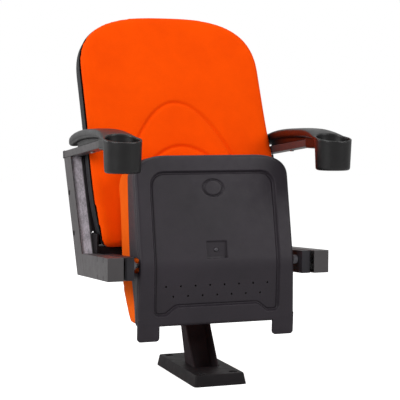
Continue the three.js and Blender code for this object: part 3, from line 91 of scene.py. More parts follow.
# Return springs: where the right one starts, its length, turns, radius and wire
COIL_X, COIL_LONG, COIL_TURNS, COIL_RADIUS, COIL_WIRE = 237.8, 7.8, 3, 12.0, 1.0

SEAT_PLACE = Matrix.Translation((0, PIVOT_Y, PIVOT_Z)) @ Matrix.Rotation(TIPPED, 4, "X")
# Stands a block across the seat: its outline is (y, z) and it is carried along x
ON_SIDE = Matrix(((0, 0, 1, 0), (1, 0, 0, 0), (0, 1, 0, 0), (0, 0, 0, 1)))
# Lays a block along the seat: its outline is (x, z) and it is carried forward
LYING = Matrix(((1, 0, 0, 0), (0, 0, -1, 0), (0, 1, 0, 0), (0, 0, 0, 1)))


# Curves and outlines

def soft(value):
    """A step from 0 to 1 with a level start and end: 3t^2 - 2t^3."""
    t = np.clip(value, 0.0, 1.0)
    return t * t * (3.0 - 2.0 * t)


def curve_through(knots, values, at):
    """Hermite curve through the knots, its slope at each being that of the line through its neighbours."""
    knots, values = np.asarray(knots, float), np.asarray(values, float)
    slopes = np.gradient(values, knots)
    i = np.clip(np.searchsorted(knots, at) - 1, 0, len(knots) - 2)
    wide = knots[i + 1] - knots[i]
    t = (at - knots[i]) / wide
    return ((2 * t**3 - 3 * t**2 + 1) * values[i] + (t**3 - 2 * t**2 + t) * wide * slopes[i]
            + (3 * t**2 - 2 * t**3) * values[i + 1] + (t**3 - t**2) * wide * slopes[i + 1])


def even(points, count):
    """Points at equal steps of length along a closed outline."""
    loop = np.vstack([points, points[:1]])
    length = np.concatenate([[0.0], np.cumsum(np.hypot(*np.diff(loop, axis=0).T))])
    at = np.linspace(0.0, length[-1], count, endpoint=False)
    return np.column_stack([np.interp(at, length, loop[:, k]) for k in range(2)])


def reach(points, centre, angles):
    """Distance from a centre to a closed outline along each angle, where ray and edge cross."""
    start, edge = points - centre, np.roll(points, -1, axis=0) - points
    ray = np.column_stack([np.cos(angles), np.sin(angles)])[:, None]
    cross = ray[..., 0] * edge[:, 1] - ray[..., 1] * edge[:, 0]
    cross = np.where(np.abs(cross) < 1e-12, 1e-12, cross)
    far = (start[:, 0] * edge[:, 1] - start[:, 1] * edge[:, 0]) / cross
    share = (start[:, 0] * ray[..., 1] - start[:, 1] * ray[..., 0]) / cross
    good = (share >= -1e-9) & (share <= 1 + 1e-9) & (far > 0)
    return np.where(good, far, 0.0).max(axis=1)


def inward(points, centre, distance):
    """Points moved towards a centre by a distance."""
    away = points - centre
    return centre + away * (1.0 - distance / np.hypot(*away.T))[:, None]


def offset(ring, distance):
    """A ring moved along its own outward normals, found from each point's two neighbours."""
    along = np.roll(ring, -1, axis=0) - np.roll(ring, 1, axis=0)
    out = np.column_stack([along[:, 1], -along[:, 0]])
    return ring + distance * out / np.maximum(np.hypot(*out.T), 1e-9)[:, None]


def round_rect(half_a, half_b, radius, steps=6):
    """Outline of a rectangle with round corners, anticlockwise."""
    turn = np.radians(np.linspace(0, 90, steps + 1))
    parts = []
    for quarter, (sa, sb) in enumerate([(1, 1), (-1, 1), (-1, -1), (1, -1)]):
        angle = turn + quarter * math.pi / 2
        parts.append(np.column_stack([sa * (half_a - radius) + radius * np.cos(angle),
                                      sb * (half_b - radius) + radius * np.sin(angle)]))
    return np.vstack(parts)


def filleted(corners, steps=9):
    """A closed outline of straight runs: each corner (x, y, radius) is an arc that touches both runs."""
    points = []
    for i, (x, y, radius) in enumerate(corners):
        here = np.array([x, y])
        back, on = (np.array(corners[k % len(corners)][:2]) - here for k in (i - 1, i + 1))
        back, on = back / np.linalg.norm(back), on / np.linalg.norm(on)
        half = math.acos(np.clip(np.dot(back, on), -1, 1)) / 2
        middle = here + (back + on) / np.linalg.norm(back + on) * radius / math.sin(half)
        start, end = (here + way * radius / math.tan(half) - middle for way in (back, on))
        turn = math.pi - 2 * half
        for t in np.linspace(0, 1, steps):
            arc = (math.sin((1 - t) * turn) * start + math.sin(t * turn) * end) / math.sin(turn)
            points.append(middle + arc)
    return np.array(points)


# Meshes

def placed(name, data):
    """A new object with this data, in the scene."""
    obj = bpy.data.objects.new(name, data)
    bpy.context.scene.collection.objects.link(obj)
    return obj


def mesh_of(name, points, quads, triangles=()):
    """A smooth-shaded object from an array of points in mm and arrays of corner numbers."""
    quads = np.asarray(quads, np.int32).reshape(-1, 4)
    triangles = np.asarray(triangles, np.int32).reshape(-1, 3)
    mesh = bpy.data.meshes.new(name)
    mesh.vertices.add(len(points))
    mesh.vertices.foreach_set("co", (np.asarray(points, float) * MM).astype(np.float32).ravel())
    corners = np.concatenate([quads.ravel(), triangles.ravel()]).astype(np.int32)
    starts = np.concatenate([np.arange(len(quads)) * 4, len(quads) * 4 + np.arange(len(triangles)) * 3])
    mesh.loops.add(len(corners))
    mesh.loops.foreach_set("vertex_index", corners)
    mesh.polygons.add(len(starts))
    mesh.polygons.foreach_set("loop_start", starts.astype(np.int32))
    mesh.update(calc_edges=True)
    mesh.polygons.foreach_set("use_smooth", np.ones(len(starts), bool))
    return placed(name, mesh)


def corners_of(mesh):
    """The mesh's points as an array, in metres."""
    co = np.zeros(len(mesh.vertices) * 3, np.float32)
    mesh.vertices.foreach_get("co", co)
    return co.reshape(-1, 3).astype(float)


def put_corners(mesh, co):
    """Writes points in metres back to a mesh."""
    mesh.vertices.foreach_set("co", np.asarray(co, np.float32).ravel())
    mesh.update()


def outward(obj):
    """The object with its faces pointing outwards. Its signed volume, the sum over the triangles of the box
    product of their corners, over 6, is below 0 where they point inwards."""
    mesh = obj.data
    mesh.calc_loop_triangles()
    co, tri = corners_of(mesh), np.zeros(len(mesh.loop_triangles) * 3, np.int32)
    mesh.loop_triangles.foreach_get("vertices", tri)
    a, b, c = (co[tri.reshape(-1, 3)[:, k]] for k in range(3))
    if (a * np.cross(b, c)).sum() / 6 < 0:
        mesh.flip_normals()
    return obj


def skin(name, rings, first, last):
    """A closed skin: rings of equal count joined in order, with a fan to a centre point at each end."""
    rings = np.asarray(rings, float)
    rows, count = rings.shape[:2]
    points = np.vstack([rings.reshape(-1, 3), [first], [last]])
    i = np.arange(count)
    nxt = (i + 1) % count
    k = np.arange(rows - 1)[:, None] * count
    quads = np.stack([k + i, k + nxt, k + count + nxt, k + count + i], axis=-1).reshape(-1, 4)
    low = np.column_stack([nxt, i, np.full(count, rows * count)])
    top = (rows - 1) * count
    high = np.column_stack([top + i, top + nxt, np.full(count, rows * count + 1)])
    return outward(mesh_of(name, points, quads, np.vstack([low, high])))


def moved(obj, matrix):
    """The object with its mesh carried by a matrix whose lengths are in mm."""
    rigid = matrix.copy()
    rigid.translation = rigid.translation * MM
    obj.data.transform(rigid)
    if rigid.determinant() < 0:
        obj.data.flip_normals()
    return obj


def mirrored(obj, name):
    """A copy on the other side of the seat's middle plane."""
    return moved(placed(name, obj.data.copy()), Matrix.Diagonal((-1, 1, 1, 1)))


def turned(name, profile, sides, matrix):
    """A closed turned piece: a profile of radius and height carried round Z, its first and last radius 0."""
    profile = np.asarray(profile, float)
    angle = np.arange(sides) * 2 * math.pi / sides
    r, z = profile[1:-1, 0][:, None], profile[1:-1, 1][:, None]
    rings = np.stack([r * np.cos(angle), r * np.sin(angle), z + 0 * angle], axis=-1)
    return moved(skin(name, rings, [0, 0, profile[0, 1]], [0, 0, profile[-1, 1]]), matrix)


def prism(name, outline, low, high, matrix, edge=0.0):
    """A closed block: an outline carried from low to high, its ends drawn in by a small round edge."""
    outline = np.asarray(outline, float)
    middle = outline.mean(axis=0)
    levels = [(0.0, low), (0.0, high)]
    if edge:
        levels = [(edge, low), (edge * 0.3, low + edge * 0.3), (0.0, low + edge),
                  (0.0, high - edge), (edge * 0.3, high - edge * 0.3), (edge, high)]
    rings = []
    for inset, level in levels:
        ring = inward(outline, middle, inset) if inset else outline
        rings.append(np.column_stack([ring, np.full(len(ring), level)]))
    return moved(skin(name, rings, [*middle, low], [*middle, high]), matrix)


def tube(name, path, radius, sides):
    """A round wire: a circle carried along a path, its frame turned as little as possible on the way."""
    path = np.asarray(path, float)
    ahead = np.gradient(path, axis=0)
    ahead /= np.linalg.norm(ahead, axis=1)[:, None]
    side = np.zeros_like(path)
    start = np.cross(ahead[0], [0.3, 0.2, 1.0])
    side[0] = start / np.linalg.norm(start)
    for i in range(1, len(path)):
        across = side[i - 1] - ahead[i] * np.dot(side[i - 1], ahead[i])
        side[i] = across / np.linalg.norm(across)
    up = np.cross(ahead, side)
    angle = np.arange(sides) * 2 * math.pi / sides
    radius = np.broadcast_to(radius, (len(path),))[:, None, None]
    rings = path[:, None, :] + radius * (np.cos(angle)[None, :, None] * side[:, None, :]
                                         + np.sin(angle)[None, :, None] * up[:, None, :])
    return skin(name, rings, path[0], path[-1])


def settled(obj):
    """The object with its modifiers made part of its mesh."""
    bpy.context.view_layer.update()
    shaped = obj.evaluated_get(bpy.context.evaluated_depsgraph_get())
    mesh = bpy.data.meshes.new_from_object(shaped)
    old = obj.data
    obj.modifiers.clear()
    obj.data = mesh
    mesh.name = obj.name
    bpy.data.meshes.remove(old)
    mesh.polygons.foreach_set("use_smooth", np.ones(len(mesh.polygons), bool))
    return obj


def together(obj, others, operation="UNION"):
    """Joins closed pieces to the first one, or cuts them from it, and removes them."""
    for other in others:
        tool = obj.modifiers.new("shape", "BOOLEAN")
        tool.operation, tool.solver, tool.object = operation, "MANIFOLD", other
    settled(obj)
    for other in others:
        bpy.data.objects.remove(other)
    return obj


def moulded(obj, voxel, passes):
    """Remeshes a closed piece into small even cells and relaxes them, which rounds its edges and joins."""
    grain = obj.modifiers.new("cells", "REMESH")
    grain.mode, grain.voxel_size = "VOXEL", voxel * MM
    relax = obj.modifiers.new("relax", "SMOOTH")
    relax.factor, relax.iterations = 0.5, passes
    return settled(obj)


def finer(obj):
    """The object with each face divided once and smoothed."""
    divided = obj.modifiers.new("finer", "SUBSURF")
    divided.levels = divided.render_levels = 1
    return settled(obj)


def puffed(obj, cell, cap=2.0):
    """Fills a cushion: even cells, then cloth under inner pressure with no gravity, each point moving cap mm
    at most."""
    moulded(obj, cell, 3)
    start = corners_of(obj.data)
    cloth = obj.modifiers.new("cloth", "CLOTH")
    cloth.settings.use_pressure = True
    cloth.settings.uniform_pressure_force = 4.0
    cloth.settings.quality = 4
    cloth.settings.mass = 0.3
    cloth.settings.effector_weights.gravity = 0.0
    cloth.collision_settings.use_self_collision = False
    cloth.point_cache.frame_start, cloth.point_cache.frame_end = 1, 20
    for step in range(1, 21):
        bpy.context.scene.frame_set(step)
    settled(obj)
    bpy.context.scene.frame_set(1)
    move = corners_of(obj.data) - start
    far = np.linalg.norm(move, axis=1)
    move *= np.minimum(1.0, cap * MM / np.maximum(far, 1e-9))[:, None]
    put_corners(obj.data, start + move)
    return obj


# Materials

# How far apart the smears of handling lie, which change the gloss of every hard finish
SMEAR_MM = 23.0


def linear(code):
    """An sRGB hex colour as linear red, green, blue and alpha."""
    parts = [int(code[i:i + 2], 16) / 255 for i in (1, 3, 5)]
    return (*[c / 12.92 if c <= 0.04045 else ((c + 0.055) / 1.055) ** 2.4 for c in parts], 1.0)


def add(tree, kind, settings=(), **inputs):
    """Adds a shader node. Inputs are numbers, colours, a node for its first output, or (node, output). In
    their names _ stands for a space, and _n for the nth socket."""
    node = tree.nodes.new("ShaderNode" + kind)
    for key, value in dict(settings).items():
        setattr(node, key, value)
    for key, value in inputs.items():
        socket = node.inputs[int(key[1:])] if key[1:].isdigit() else node.inputs[key.replace("_", " ")]
        source, output = value if isinstance(value, tuple) and len(value) == 2 else (value, 0)
        if isinstance(source, bpy.types.Node):
            tree.links.new(source.outputs[output], socket)
        else:
            socket.default_value = value
    return node


def new_material(name):
    """An empty node material and its tree."""
    material = bpy.data.materials.new(name)
    material.use_nodes = True
    material.node_tree.nodes.clear()
    return material, material.node_tree


def shaded(ramp, low, dark, high, light):
    """Sets a colour ramp to run from one hex colour to another between two levels."""
    for stop, place, code in zip(ramp.color_ramp.elements, (low, high), (dark, light)):
        stop.position, stop.color = place, linear(code)


def surface(name, dark, light, rough, grain_mm, grain_high, drift_mm=70.0, metal=0.0, ior=1.5, wear=None,
            shine=0.5, bare_and_highlight=None):
    """A hard finish. Colour drifts between two shades over drift_mm; the skin's grain is a bump of grain_mm
    across and grain_high mm high; roughness wanders between the two values of rough; shine is the specular
    level; wear is the colour and the size in mm of scuffs; the last, when given, is the pale colour of the
    uprights' front wall: brushed steel, made paler by a painted highlight from a light in front."""
    material, tree = new_material(name)
    place = add(tree, "TexCoord")
    drift, grain, smear = (
        add(tree, "TexNoise", Vector=(place, "Object"), Scale=1000.0 / size, Detail=detail, Roughness=fine)
        for size, detail, fine in ((drift_mm, 4.0, 0.6), (grain_mm, 2.0, 0.55), (SMEAR_MM, 5.0, 0.7)))
    shade = add(tree, "ValToRGB", Fac=drift)
    shaded(shade, 0.3, dark, 0.7, light)
    gloss = add(tree, "MapRange", Value=smear, _1=0.3, _2=0.7, _3=rough[0], _4=rough[1])
    bump = add(tree, "Bump", Height=grain, Strength=1.0, Distance=grain_high * MM)
    colour = shade
    if wear:
        scuff_colour, scuff_mm = wear
        scuff = add(tree, "TexNoise", Vector=(place, "Object"), Scale=1000.0 / scuff_mm, Detail=6.0,
                    Roughness=0.75)
        worn = add(tree, "MapRange", Value=scuff, _1=0.62, _2=0.78, _3=0.0, _4=0.5)
        mix = add(tree, "Mix", {"data_type": "RGBA"}, _0=worn, _6=colour, _7=linear(scuff_colour))
        colour = (mix, 2)
    if bare_and_highlight:
        colour = brushed_wall_and_highlight(tree, place, colour, bare_and_highlight)
    shader = add(tree, "BsdfPrincipled", Base_Color=colour, Metallic=metal, Roughness=gloss, Normal=bump)
    if metal < 0.5:
        shader.inputs["IOR"].default_value = ior
        shader.inputs["Specular IOR Level"].default_value = shine
    add(tree, "OutputMaterial", Surface=shader)
    return material


def brushed_wall_and_highlight(tree, place, colour, bare_and_highlight):
    """The recessed front wall of an upright: paler, in fine streaks that run up it, paler still in patches;
    the paleness is a painted highlight over brushed steel, for the light that the wall catches from in
    front. It is found by its facing, square to the upright's lean, and by lying between the channel's edges."""
    facing = add(tree, "NewGeometry")
    front = add(tree, "VectorMath", {"operation": "DOT_PRODUCT"}, _0=(facing, "Normal"),
                _1=(0.0, -math.cos(UPRIGHT_LEAN), math.sin(UPRIGHT_LEAN)))
    on_front = add(tree, "MapRange", Value=(front, "Value"), _1=0.93, _2=0.98)
    across = add(tree, "SeparateXYZ", Vector=(place, "Object"))
    side = add(tree, "Math", {"operation": "ABSOLUTE"}, _0=across)
    inner = add(tree, "MapRange", Value=side, _1=(WALL_INNER - WALL_BLEND) * MM,
                _2=(WALL_INNER + WALL_BLEND) * MM)
    outer = add(tree, "MapRange", Value=side, _1=(WALL_OUTER + WALL_BLEND) * MM,
                _2=(WALL_OUTER - WALL_BLEND) * MM)
    band = add(tree, "Math", {"operation": "MULTIPLY"}, _0=inner, _1=outer)
    wall = add(tree, "Math", {"operation": "MULTIPLY"}, _0=band, _1=on_front)
    along = add(tree, "Mapping", Vector=(place, "Object"), Rotation=(-UPRIGHT_LEAN, 0.0, 0.0),
                Scale=(1.0, 1.0, 0.025))
    streaks = add(tree, "TexNoise", Vector=along, Scale=1000.0 / 3.2, Detail=4.0, Roughness=0.65)
    patches = add(tree, "TexNoise", Vector=along, Scale=1000.0 / 14.0, Detail=2.0)
    uneven = add(tree, "Math", {"operation": "MULTIPLY_ADD"}, _0=patches, _1=0.6, _2=streaks)
    amount = add(tree, "MapRange", Value=uneven, _1=0.62, _2=0.98, _3=0.45, _4=1.0)
    share = add(tree, "Math", {"operation": "MULTIPLY"}, _0=amount, _1=wall)
    # Painted highlight: the pale colour laid over the front wall, in streaks and patches
    mix = add(tree, "Mix", {"data_type": "RGBA"}, _0=share, _6=colour, _7=linear(bare_and_highlight))
    return mix, 2


def woven(name, dark, light, thread_mm, lean):
    """Woven upholstery: two sets of threads that cross, and a weaker third for the faces that show only one.
    A wave repeats 20 / (2 pi) times a unit, so its scale of 100 / thread_mm draws the threads about three
    times as wide as they are, so that they show. Over them lie slow drifts of shade, and the short pile at
    the edges of the light is the sheen."""
    material, tree = new_material(name)
    place = add(tree, "TexCoord")
    turn = add(tree, "Mapping", Vector=(place, "Object"), Rotation=(lean, 0.0, 0.0))
    wander = add(tree, "TexNoise", Vector=turn, Scale=1000.0 / 9.0, Detail=2.0)
    bend = add(tree, "Mix", {"data_type": "VECTOR"}, _0=0.0012, _4=turn, _5=(wander, "Color"))
    threads = [add(tree, "TexWave", {"bands_direction": axis, "wave_profile": "SIN"},
                   Vector=(bend, 1), Scale=100.0 / thread_mm, Distortion=0.0) for axis in ("X", "Z", "Y")]
    cross = add(tree, "Math", {"operation": "ADD"}, _0=(threads[0], "Fac"), _1=(threads[1], "Fac"))
    cloth = add(tree, "Math", {"operation": "MULTIPLY_ADD"}, _0=(threads[2], "Fac"), _1=0.5, _2=cross)
    drift = add(tree, "TexNoise", Vector=turn, Scale=1000.0 / 85.0, Detail=5.0, Roughness=0.62)
    fleck = add(tree, "TexNoise", Vector=turn, Scale=1000.0 / 2.4, Detail=2.0)
    level = add(tree, "Math", {"operation": "MULTIPLY_ADD"}, _0=fleck, _1=0.35, _2=drift)
    shade = add(tree, "ValToRGB", Fac=level)
    shaded(shade, 0.4, dark, 0.98, light)
    bump = add(tree, "Bump", Height=cloth, Strength=0.5, Distance=0.22 * MM)
    shader = add(tree, "BsdfPrincipled", Base_Color=shade, Roughness=0.92, Normal=bump, Sheen_Weight=0.03,
                 Sheen_Roughness=0.45, Sheen_Tint=linear("#FF8A3A"), Specular_IOR_Level=0.04)
    add(tree, "OutputMaterial", Surface=shader)
    return material


def layered_wood(name):
    """Rotary-cut birch plywood: pale veneers whose grain runs across the seat, in fibres 2.5 mm wide."""
    material, tree = new_material(name)
    place = add(tree, "TexCoord")
    turn = add(tree, "Mapping", Vector=(place, "Object"), Scale=(1.0, 0.12, 0.12))
    grain = add(tree, "TexNoise", Vector=turn, Scale=1000.0 / 2.5, Detail=6.0, Roughness=0.7)
    shade = add(tree, "ValToRGB", Fac=grain)
    shaded(shade, 0.35, "#A87C4C", 0.65, "#CDA673")
    bump = add(tree, "Bump", Height=grain, Strength=0.6, Distance=0.1 * MM)
    shader = add(tree, "BsdfPrincipled", Base_Color=shade, Roughness=0.7, Normal=bump)
    add(tree, "OutputMaterial", Surface=shader)
    return material


# Powder coat on mild steel, baked: a satin near-black skin with a faint orange peel.
BLACK_COAT = surface("powder_coated_steel_black", "#100D0F", "#191517", (0.46, 0.62), 3.2, 0.05, shine=0.12,
                     wear=("#1E1A1B", 9.0))
# The same coat on the leg in a copy of its own, flatter, its paler and browner colour painted light: it
# stands in for the light that the leg's front catches under the seat, and less shine gives back less of the
# light from the side.
LEG_COAT_PAINTED_LIGHT = surface("powder_coated_steel_leg_painted_light", "#2A2326", "#353032", (0.62, 0.76), 3.2, 0.05, shine=0.03,
                   wear=("#3D3639", 9.0))
# The same coat on the side frames in a greyer copy: the greyer colour is painted light, standing in for the
# light from the side that lifts the frames' outer faces.
SIDE_COAT_PAINTED_LIGHT = surface("powder_coated_steel_grey_painted_light", "#333031", "#3E3A3C", (0.36, 0.5), 3.2, 0.06,
                    wear=("#504C4E", 7.0))
# On the uprights the same greyer copy, painted light as on the side frames, with a pale front wall in
# streaks: brushed steel whose paler colour is a painted highlight from a light in front.
UPRIGHT_COAT_PAINTED_LIGHT = surface("powder_coated_steel_upright_painted_light", "#353233", "#403C3E", (0.36, 0.5), 3.2, 0.06,
                       wear=("#545052", 7.0), bare_and_highlight="#CFC6CF")
# Injection moulded polypropylene with a fine spark-eroded grain, semi-matt.
PAN_PLASTIC = surface("moulded_polypropylene_charcoal", "#1E191F", "#262027", (0.44, 0.58), 2.6, 0.05,
                      drift_mm=160.0, shine=0.3)
SHELL_PLASTIC = surface("moulded_polypropylene_slate", "#101114", "#16171A", (0.46, 0.6), 2.6, 0.05,
                        drift_mm=160.0, shine=0.18)
# On the arms it is rubbed smoother and catches more light.
ARM_PLASTIC = surface("moulded_polypropylene_black", "#070607", "#0D0B0C", (0.3, 0.42), 2.2, 0.04,
                      drift_mm=90.0, shine=0.38)
# Moulded nylon of the hinge's boxes: a dense, cool black.
BOX_PLASTIC = surface("moulded_nylon_black", "#17151A", "#1F1D22", (0.4, 0.52), 2.2, 0.05, drift_mm=60.0,
                      shine=0.3)
# Acetal bush: a close, slightly waxy grey.
BUSH_PLASTIC = surface("acetal_grey", "#6E6C72", "#7C7A80", (0.3, 0.4), 2.0, 0.02, ior=1.48, shine=0.35)
# Bright zinc plate on cold-headed steel: a cool grey metal, cloudy from handling.
ZINC = surface("zinc_plated_steel", "#8E9092", "#A9ABAD", (0.28, 0.45), 1.6, 0.03, drift_mm=12.0, metal=1.0)
# Drawn spring wire, oiled: a darker metal.
SPRING_WIRE = surface("drawn_spring_steel", "#5A595C", "#6E6D70", (0.3, 0.42), 1.5, 0.02, drift_mm=8.0,
                      metal=1.0)
# Blackened steel of the pan's screw: dark, with a small sharp light.
DARK_STEEL = surface("blackened_steel", "#454347", "#565458", (0.26, 0.38), 1.6, 0.02, drift_mm=8.0,
                     metal=1.0)
# Vulcanised rubber: matt black, with a dusty bloom.
RUBBER = surface("vulcanised_rubber", "#0E0E0F", "#171718", (0.75, 0.9), 1.8, 0.06, drift_mm=30.0, ior=1.52,
                 shine=0.3)
# Piece-dyed polyester weave: a flat, strong orange that darkens only where the cover turns away.
BACK_CLOTH = woven("woven_polyester_orange_back", "#DE4200", "#EA4A00", 0.8, BACK_LEAN)
# The same cloth on the seat in a copy of its own: its darker, yellower orange is painted light, standing in
# for the shade and the sheen on the seat's side band.
SEAT_CLOTH_PAINTED_LIGHT = woven("woven_polyester_orange_seat_painted_light", "#D9540B", "#E36013", 0.8, -TIPPED)
PLYWOOD = layered_wood("birch_plywood")


# Pieces that are the CAD's own

def dressed(names, material, edge_mm):
    """Gives CAD nodes their material and a small round on each sharp edge, as pressing and coating do."""
    for name in names:
        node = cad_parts[name]
        if "custom_normal" in node.data.attributes:
            node.data.attributes.remove(node.data.attributes["custom_normal"])
        node.data.materials.clear()
        node.data.materials.append(material)
        node.data.polygons.foreach_set("use_smooth", np.ones(len(node.data.polygons), bool))
        weld = node.modifiers.new("weld", "WELD")
        weld.merge_threshold = 1e-6
        flat = node.modifiers.new("flat", "DECIMATE")
        flat.decimate_type, flat.angle_limit = "DISSOLVE", math.radians(0.5)
        edge = node.modifiers.new("edge", "BEVEL")
        edge.width, edge.segments, edge.limit_method = edge_mm * MM, 2, "ANGLE"
        edge.angle_limit, edge.harden_normals = math.radians(38), False
        even_light = node.modifiers.new("even_light", "WEIGHTED_NORMAL")
        even_light.keep_sharp = True


def both(*names):
    """The right and the left node of each name."""
    return [f"{name}_{side}" for name in names for side in ("right", "left")]


def four(name):
    """The four numbered nodes of a name."""
    return [f"{name}_{i}" for i in range(1, 5)]


dressed(["foot_plate", "foot_cover", "head_plate", "cross_beam"], BLACK_COAT, 0.9)
dressed(both("beam_end_plate", "hub_plate", "stop_cam", "back_bracket"), BLACK_COAT, 0.9)
dressed(["post"], LEG_COAT_PAINTED_LIGHT, 0.9)
dressed(both("side_rail", "arm_tube"), SIDE_COAT_PAINTED_LIGHT, 0.9)
dressed(both("upright"), UPRIGHT_COAT_PAINTED_LIGHT, 0.9)
dressed(both("hinge_housing", "housing_cover", "arm_tube_cap"), BOX_PLASTIC, 1.0)
dressed(both("head_bolt", "housing_stud_1", "housing_stud_2", "arm_screw", "pivot_pin"), ZINC, 0.4)
dressed(four("floor_bolt") + four("back_screw"), ZINC, 0.4)
dressed(["pan_screw"], DARK_STEEL, 0.4)
dressed(both("pivot_bush"), BUSH_PLASTIC, 0.4)
dressed(both("stop_bumper"), RUBBER, 1.2)
dressed(["back_board", "seat_board"], PLYWOOD, 0.4)


# New pieces

def finished(obj, material, body, slot, *nodes):
    """Gives a new piece its material, its body and the CAD nodes that it stands for. Its finish's slot is
    not used.
    """
    obj.data.materials.clear()
    obj.data.materials.append(material)
    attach(obj, body)
    if nodes:
        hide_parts(*nodes)
    return obj


def on_both_sides(piece, name, material, slot, node=None):
    """Finishes a right-hand piece of the frame and its mirrored twin, each for its own side's CAD node."""
    piece.name = f"{name}_right"
    for obj, side in ((piece, "right"), (mirrored(piece, f"{name}_left"), "left")):
        finished(obj, material, "frame", slot, *([f"{node}_{side}"] if node else []))


# Back

def back_width(s):
    """Half width at a height up the back: sides that swell at hip height by a bell curve and draw in at the
    foot, and a superellipse top."""
    share = np.clip((s - BACK_SHOULDER) / (BACK_LONG - BACK_SHOULDER), 0, 1)
    low = np.clip(1 - s / BACK_FOOT_BLEND, 0, 1)
    top = BACK_HALF * (1 - share**BACK_POWER) ** (1 / BACK_POWER)
    hip = HIP_SWELL * np.exp(-(((s - HIP_S) / HIP_LONG) ** 2))
    return np.where(s > BACK_SHOULDER, top, BACK_HALF + hip - (BACK_HALF - BACK_FOOT_HALF) * low**2)


def back_outline(count):
    """The back's outline as (x, s): round foot corners, the side line, then the top."""
    turn = np.radians(np.linspace(-90, 0, 12))
    foot = np.column_stack([back_width(np.float64(BACK_CORNER)) - BACK_CORNER + BACK_CORNER * np.cos(turn),
                            BACK_CORNER + BACK_CORNER * np.sin(turn)])
    s = np.linspace(BACK_CORNER, BACK_SHOULDER, 60)[1:]
    side = np.column_stack([back_width(s), s])
    turn = np.radians(np.linspace(0, 90, 90))[1:]
    top = np.column_stack([BACK_HALF * np.cos(turn) ** (2 / BACK_POWER),
                           BACK_SHOULDER + (BACK_LONG - BACK_SHOULDER) * np.sin(turn) ** (2 / BACK_POWER)])
    right = np.vstack([foot, side, top])
    left = right[-2::-1] * [-1, 1]
    return even(np.vstack([right, left]), count)


def on_back(x, depth, s):
    """Points of the back's own frame (across, backwards, up) in the frame of the whole seat."""
    sin, cos = math.sin(BACK_LEAN), math.cos(BACK_LEAN)
    return np.stack([x + 0 * s, BACK_Y + s * sin + depth * cos, BACK_Z + s * cos - depth * sin], axis=-1)


def at_back_centre(depth):
    """The point on the back's middle line from which its rings are drawn, at a depth."""
    return on_back(np.array([0.0]), np.array([depth]), np.array([BACK_CENTRE_S]))[0]


def tuck(s):
    """How far the foot of the back curls to the rear: a parabola that ends BACK_TUCK_LONG up."""
    return BACK_TUCK * np.clip(1 - s / BACK_TUCK_LONG, 0, 1) ** 2


BACK_RING = back_outline(384)
BACK_CENTRE = np.array([0.0, BACK_CENTRE_S])


def back_slice(inset, depth, foot_rise=0.0):
    """A ring of the back: its outline moved in, at a depth, its tuck fading towards the shell's rear."""
    ring = inward(BACK_RING, BACK_CENTRE, inset)
    up = np.maximum(ring[:, 1], foot_rise)
    fade = min(1.0, (SHELL_DEPTH - depth) / (SHELL_DEPTH - SEAM_DEPTH))
    return on_back(ring[:, 0], depth + fade * tuck(up), up)


def arch_depth(x, s):
    """Depth of the two sewn channels at a point of the face. Each runs along a parabola that falls by drop
    at ARCH_HALF from its middle: a narrow bell across that line in a wide shallow one, faded at its low
    ends."""
    deep = np.zeros_like(x)
    up = s - BACK_CENTRE_S
    angle = np.degrees(np.arcsin(np.clip(up / np.maximum(np.hypot(x, up), 1), -1, 1)))
    fade = soft((angle - 4.0) / 26.0)
    for peak, drop in ARCHES:
        line = peak - drop * ((x + ARCH_SHIFT) / ARCH_HALF) ** 2
        slope = 2 * drop * (x + ARCH_SHIFT) / ARCH_HALF**2
        away = (s - line) / np.sqrt(1 + slope**2)
        bell = ARCH_DEEP * np.exp(-((away / ARCH_WIDE) ** 2))
        hollow = ARCH_HOLLOW * np.exp(-((away / ARCH_HOLLOW_WIDE) ** 2))
        deep = np.maximum(deep, bell + hollow)
    return deep * fade


def back_pad():
    """The back cushion's closed form before it is filled: flat rear, full round edge and a crowned face. It
    starts PAD_WIDER outside the back's outline, because the filling draws its edge in."""
    full = np.hypot(*(BACK_RING - BACK_CENTRE).T)
    rings = [back_slice(60, PAD_REAR), back_slice(24, PAD_REAR), back_slice(6, PAD_REAR),
             back_slice(0.5 - PAD_WIDER, 8), back_slice(-PAD_WIDER, 3)]

    def put(share, lower):
        ring = BACK_CENTRE + (BACK_RING - BACK_CENTRE) * np.reshape(share, (-1, 1))
        depth = lower + PAD_FACE - PAD_CROWN * (1 - share**2) + tuck(ring[:, 1])
        rings.append(on_back(ring[:, 0], depth, ring[:, 1]))

    for turn in np.radians(np.linspace(0, 90, 10)):
        put(1 - (PAD_EDGE * (1 - math.cos(turn)) - PAD_WIDER) / full, PAD_EDGE * (1 - math.sin(turn)))
    for share in np.linspace(0.86, 0.04, 40):
        put(share, 0.0)
    return skin("back_pad", rings, at_back_centre(PAD_REAR), at_back_centre(PAD_FACE - PAD_CROWN))


def back_cushion():
    """The padded back: the filled form, made finer, with its two arched channels sewn in."""
    obj = finer(puffed(back_pad(), 6.0))
    co = corners_of(obj.data) / MM
    sin, cos = math.sin(BACK_LEAN), math.cos(BACK_LEAN)
    y, z = co[:, 1] - BACK_Y, co[:, 2] - BACK_Z
    s, depth = y * sin + z * cos, y * cos - z * sin
    face = soft((2.0 + tuck(s) - depth) / 6.0)
    sink = arch_depth(co[:, 0], s) * face
    co[:, 1] += sink * cos
    co[:, 2] -= sink * sin
    put_corners(obj.data, co * MM)
    finished(obj, BACK_CLOTH, "frame", "orange_cloth", "back_cushion")
    return obj


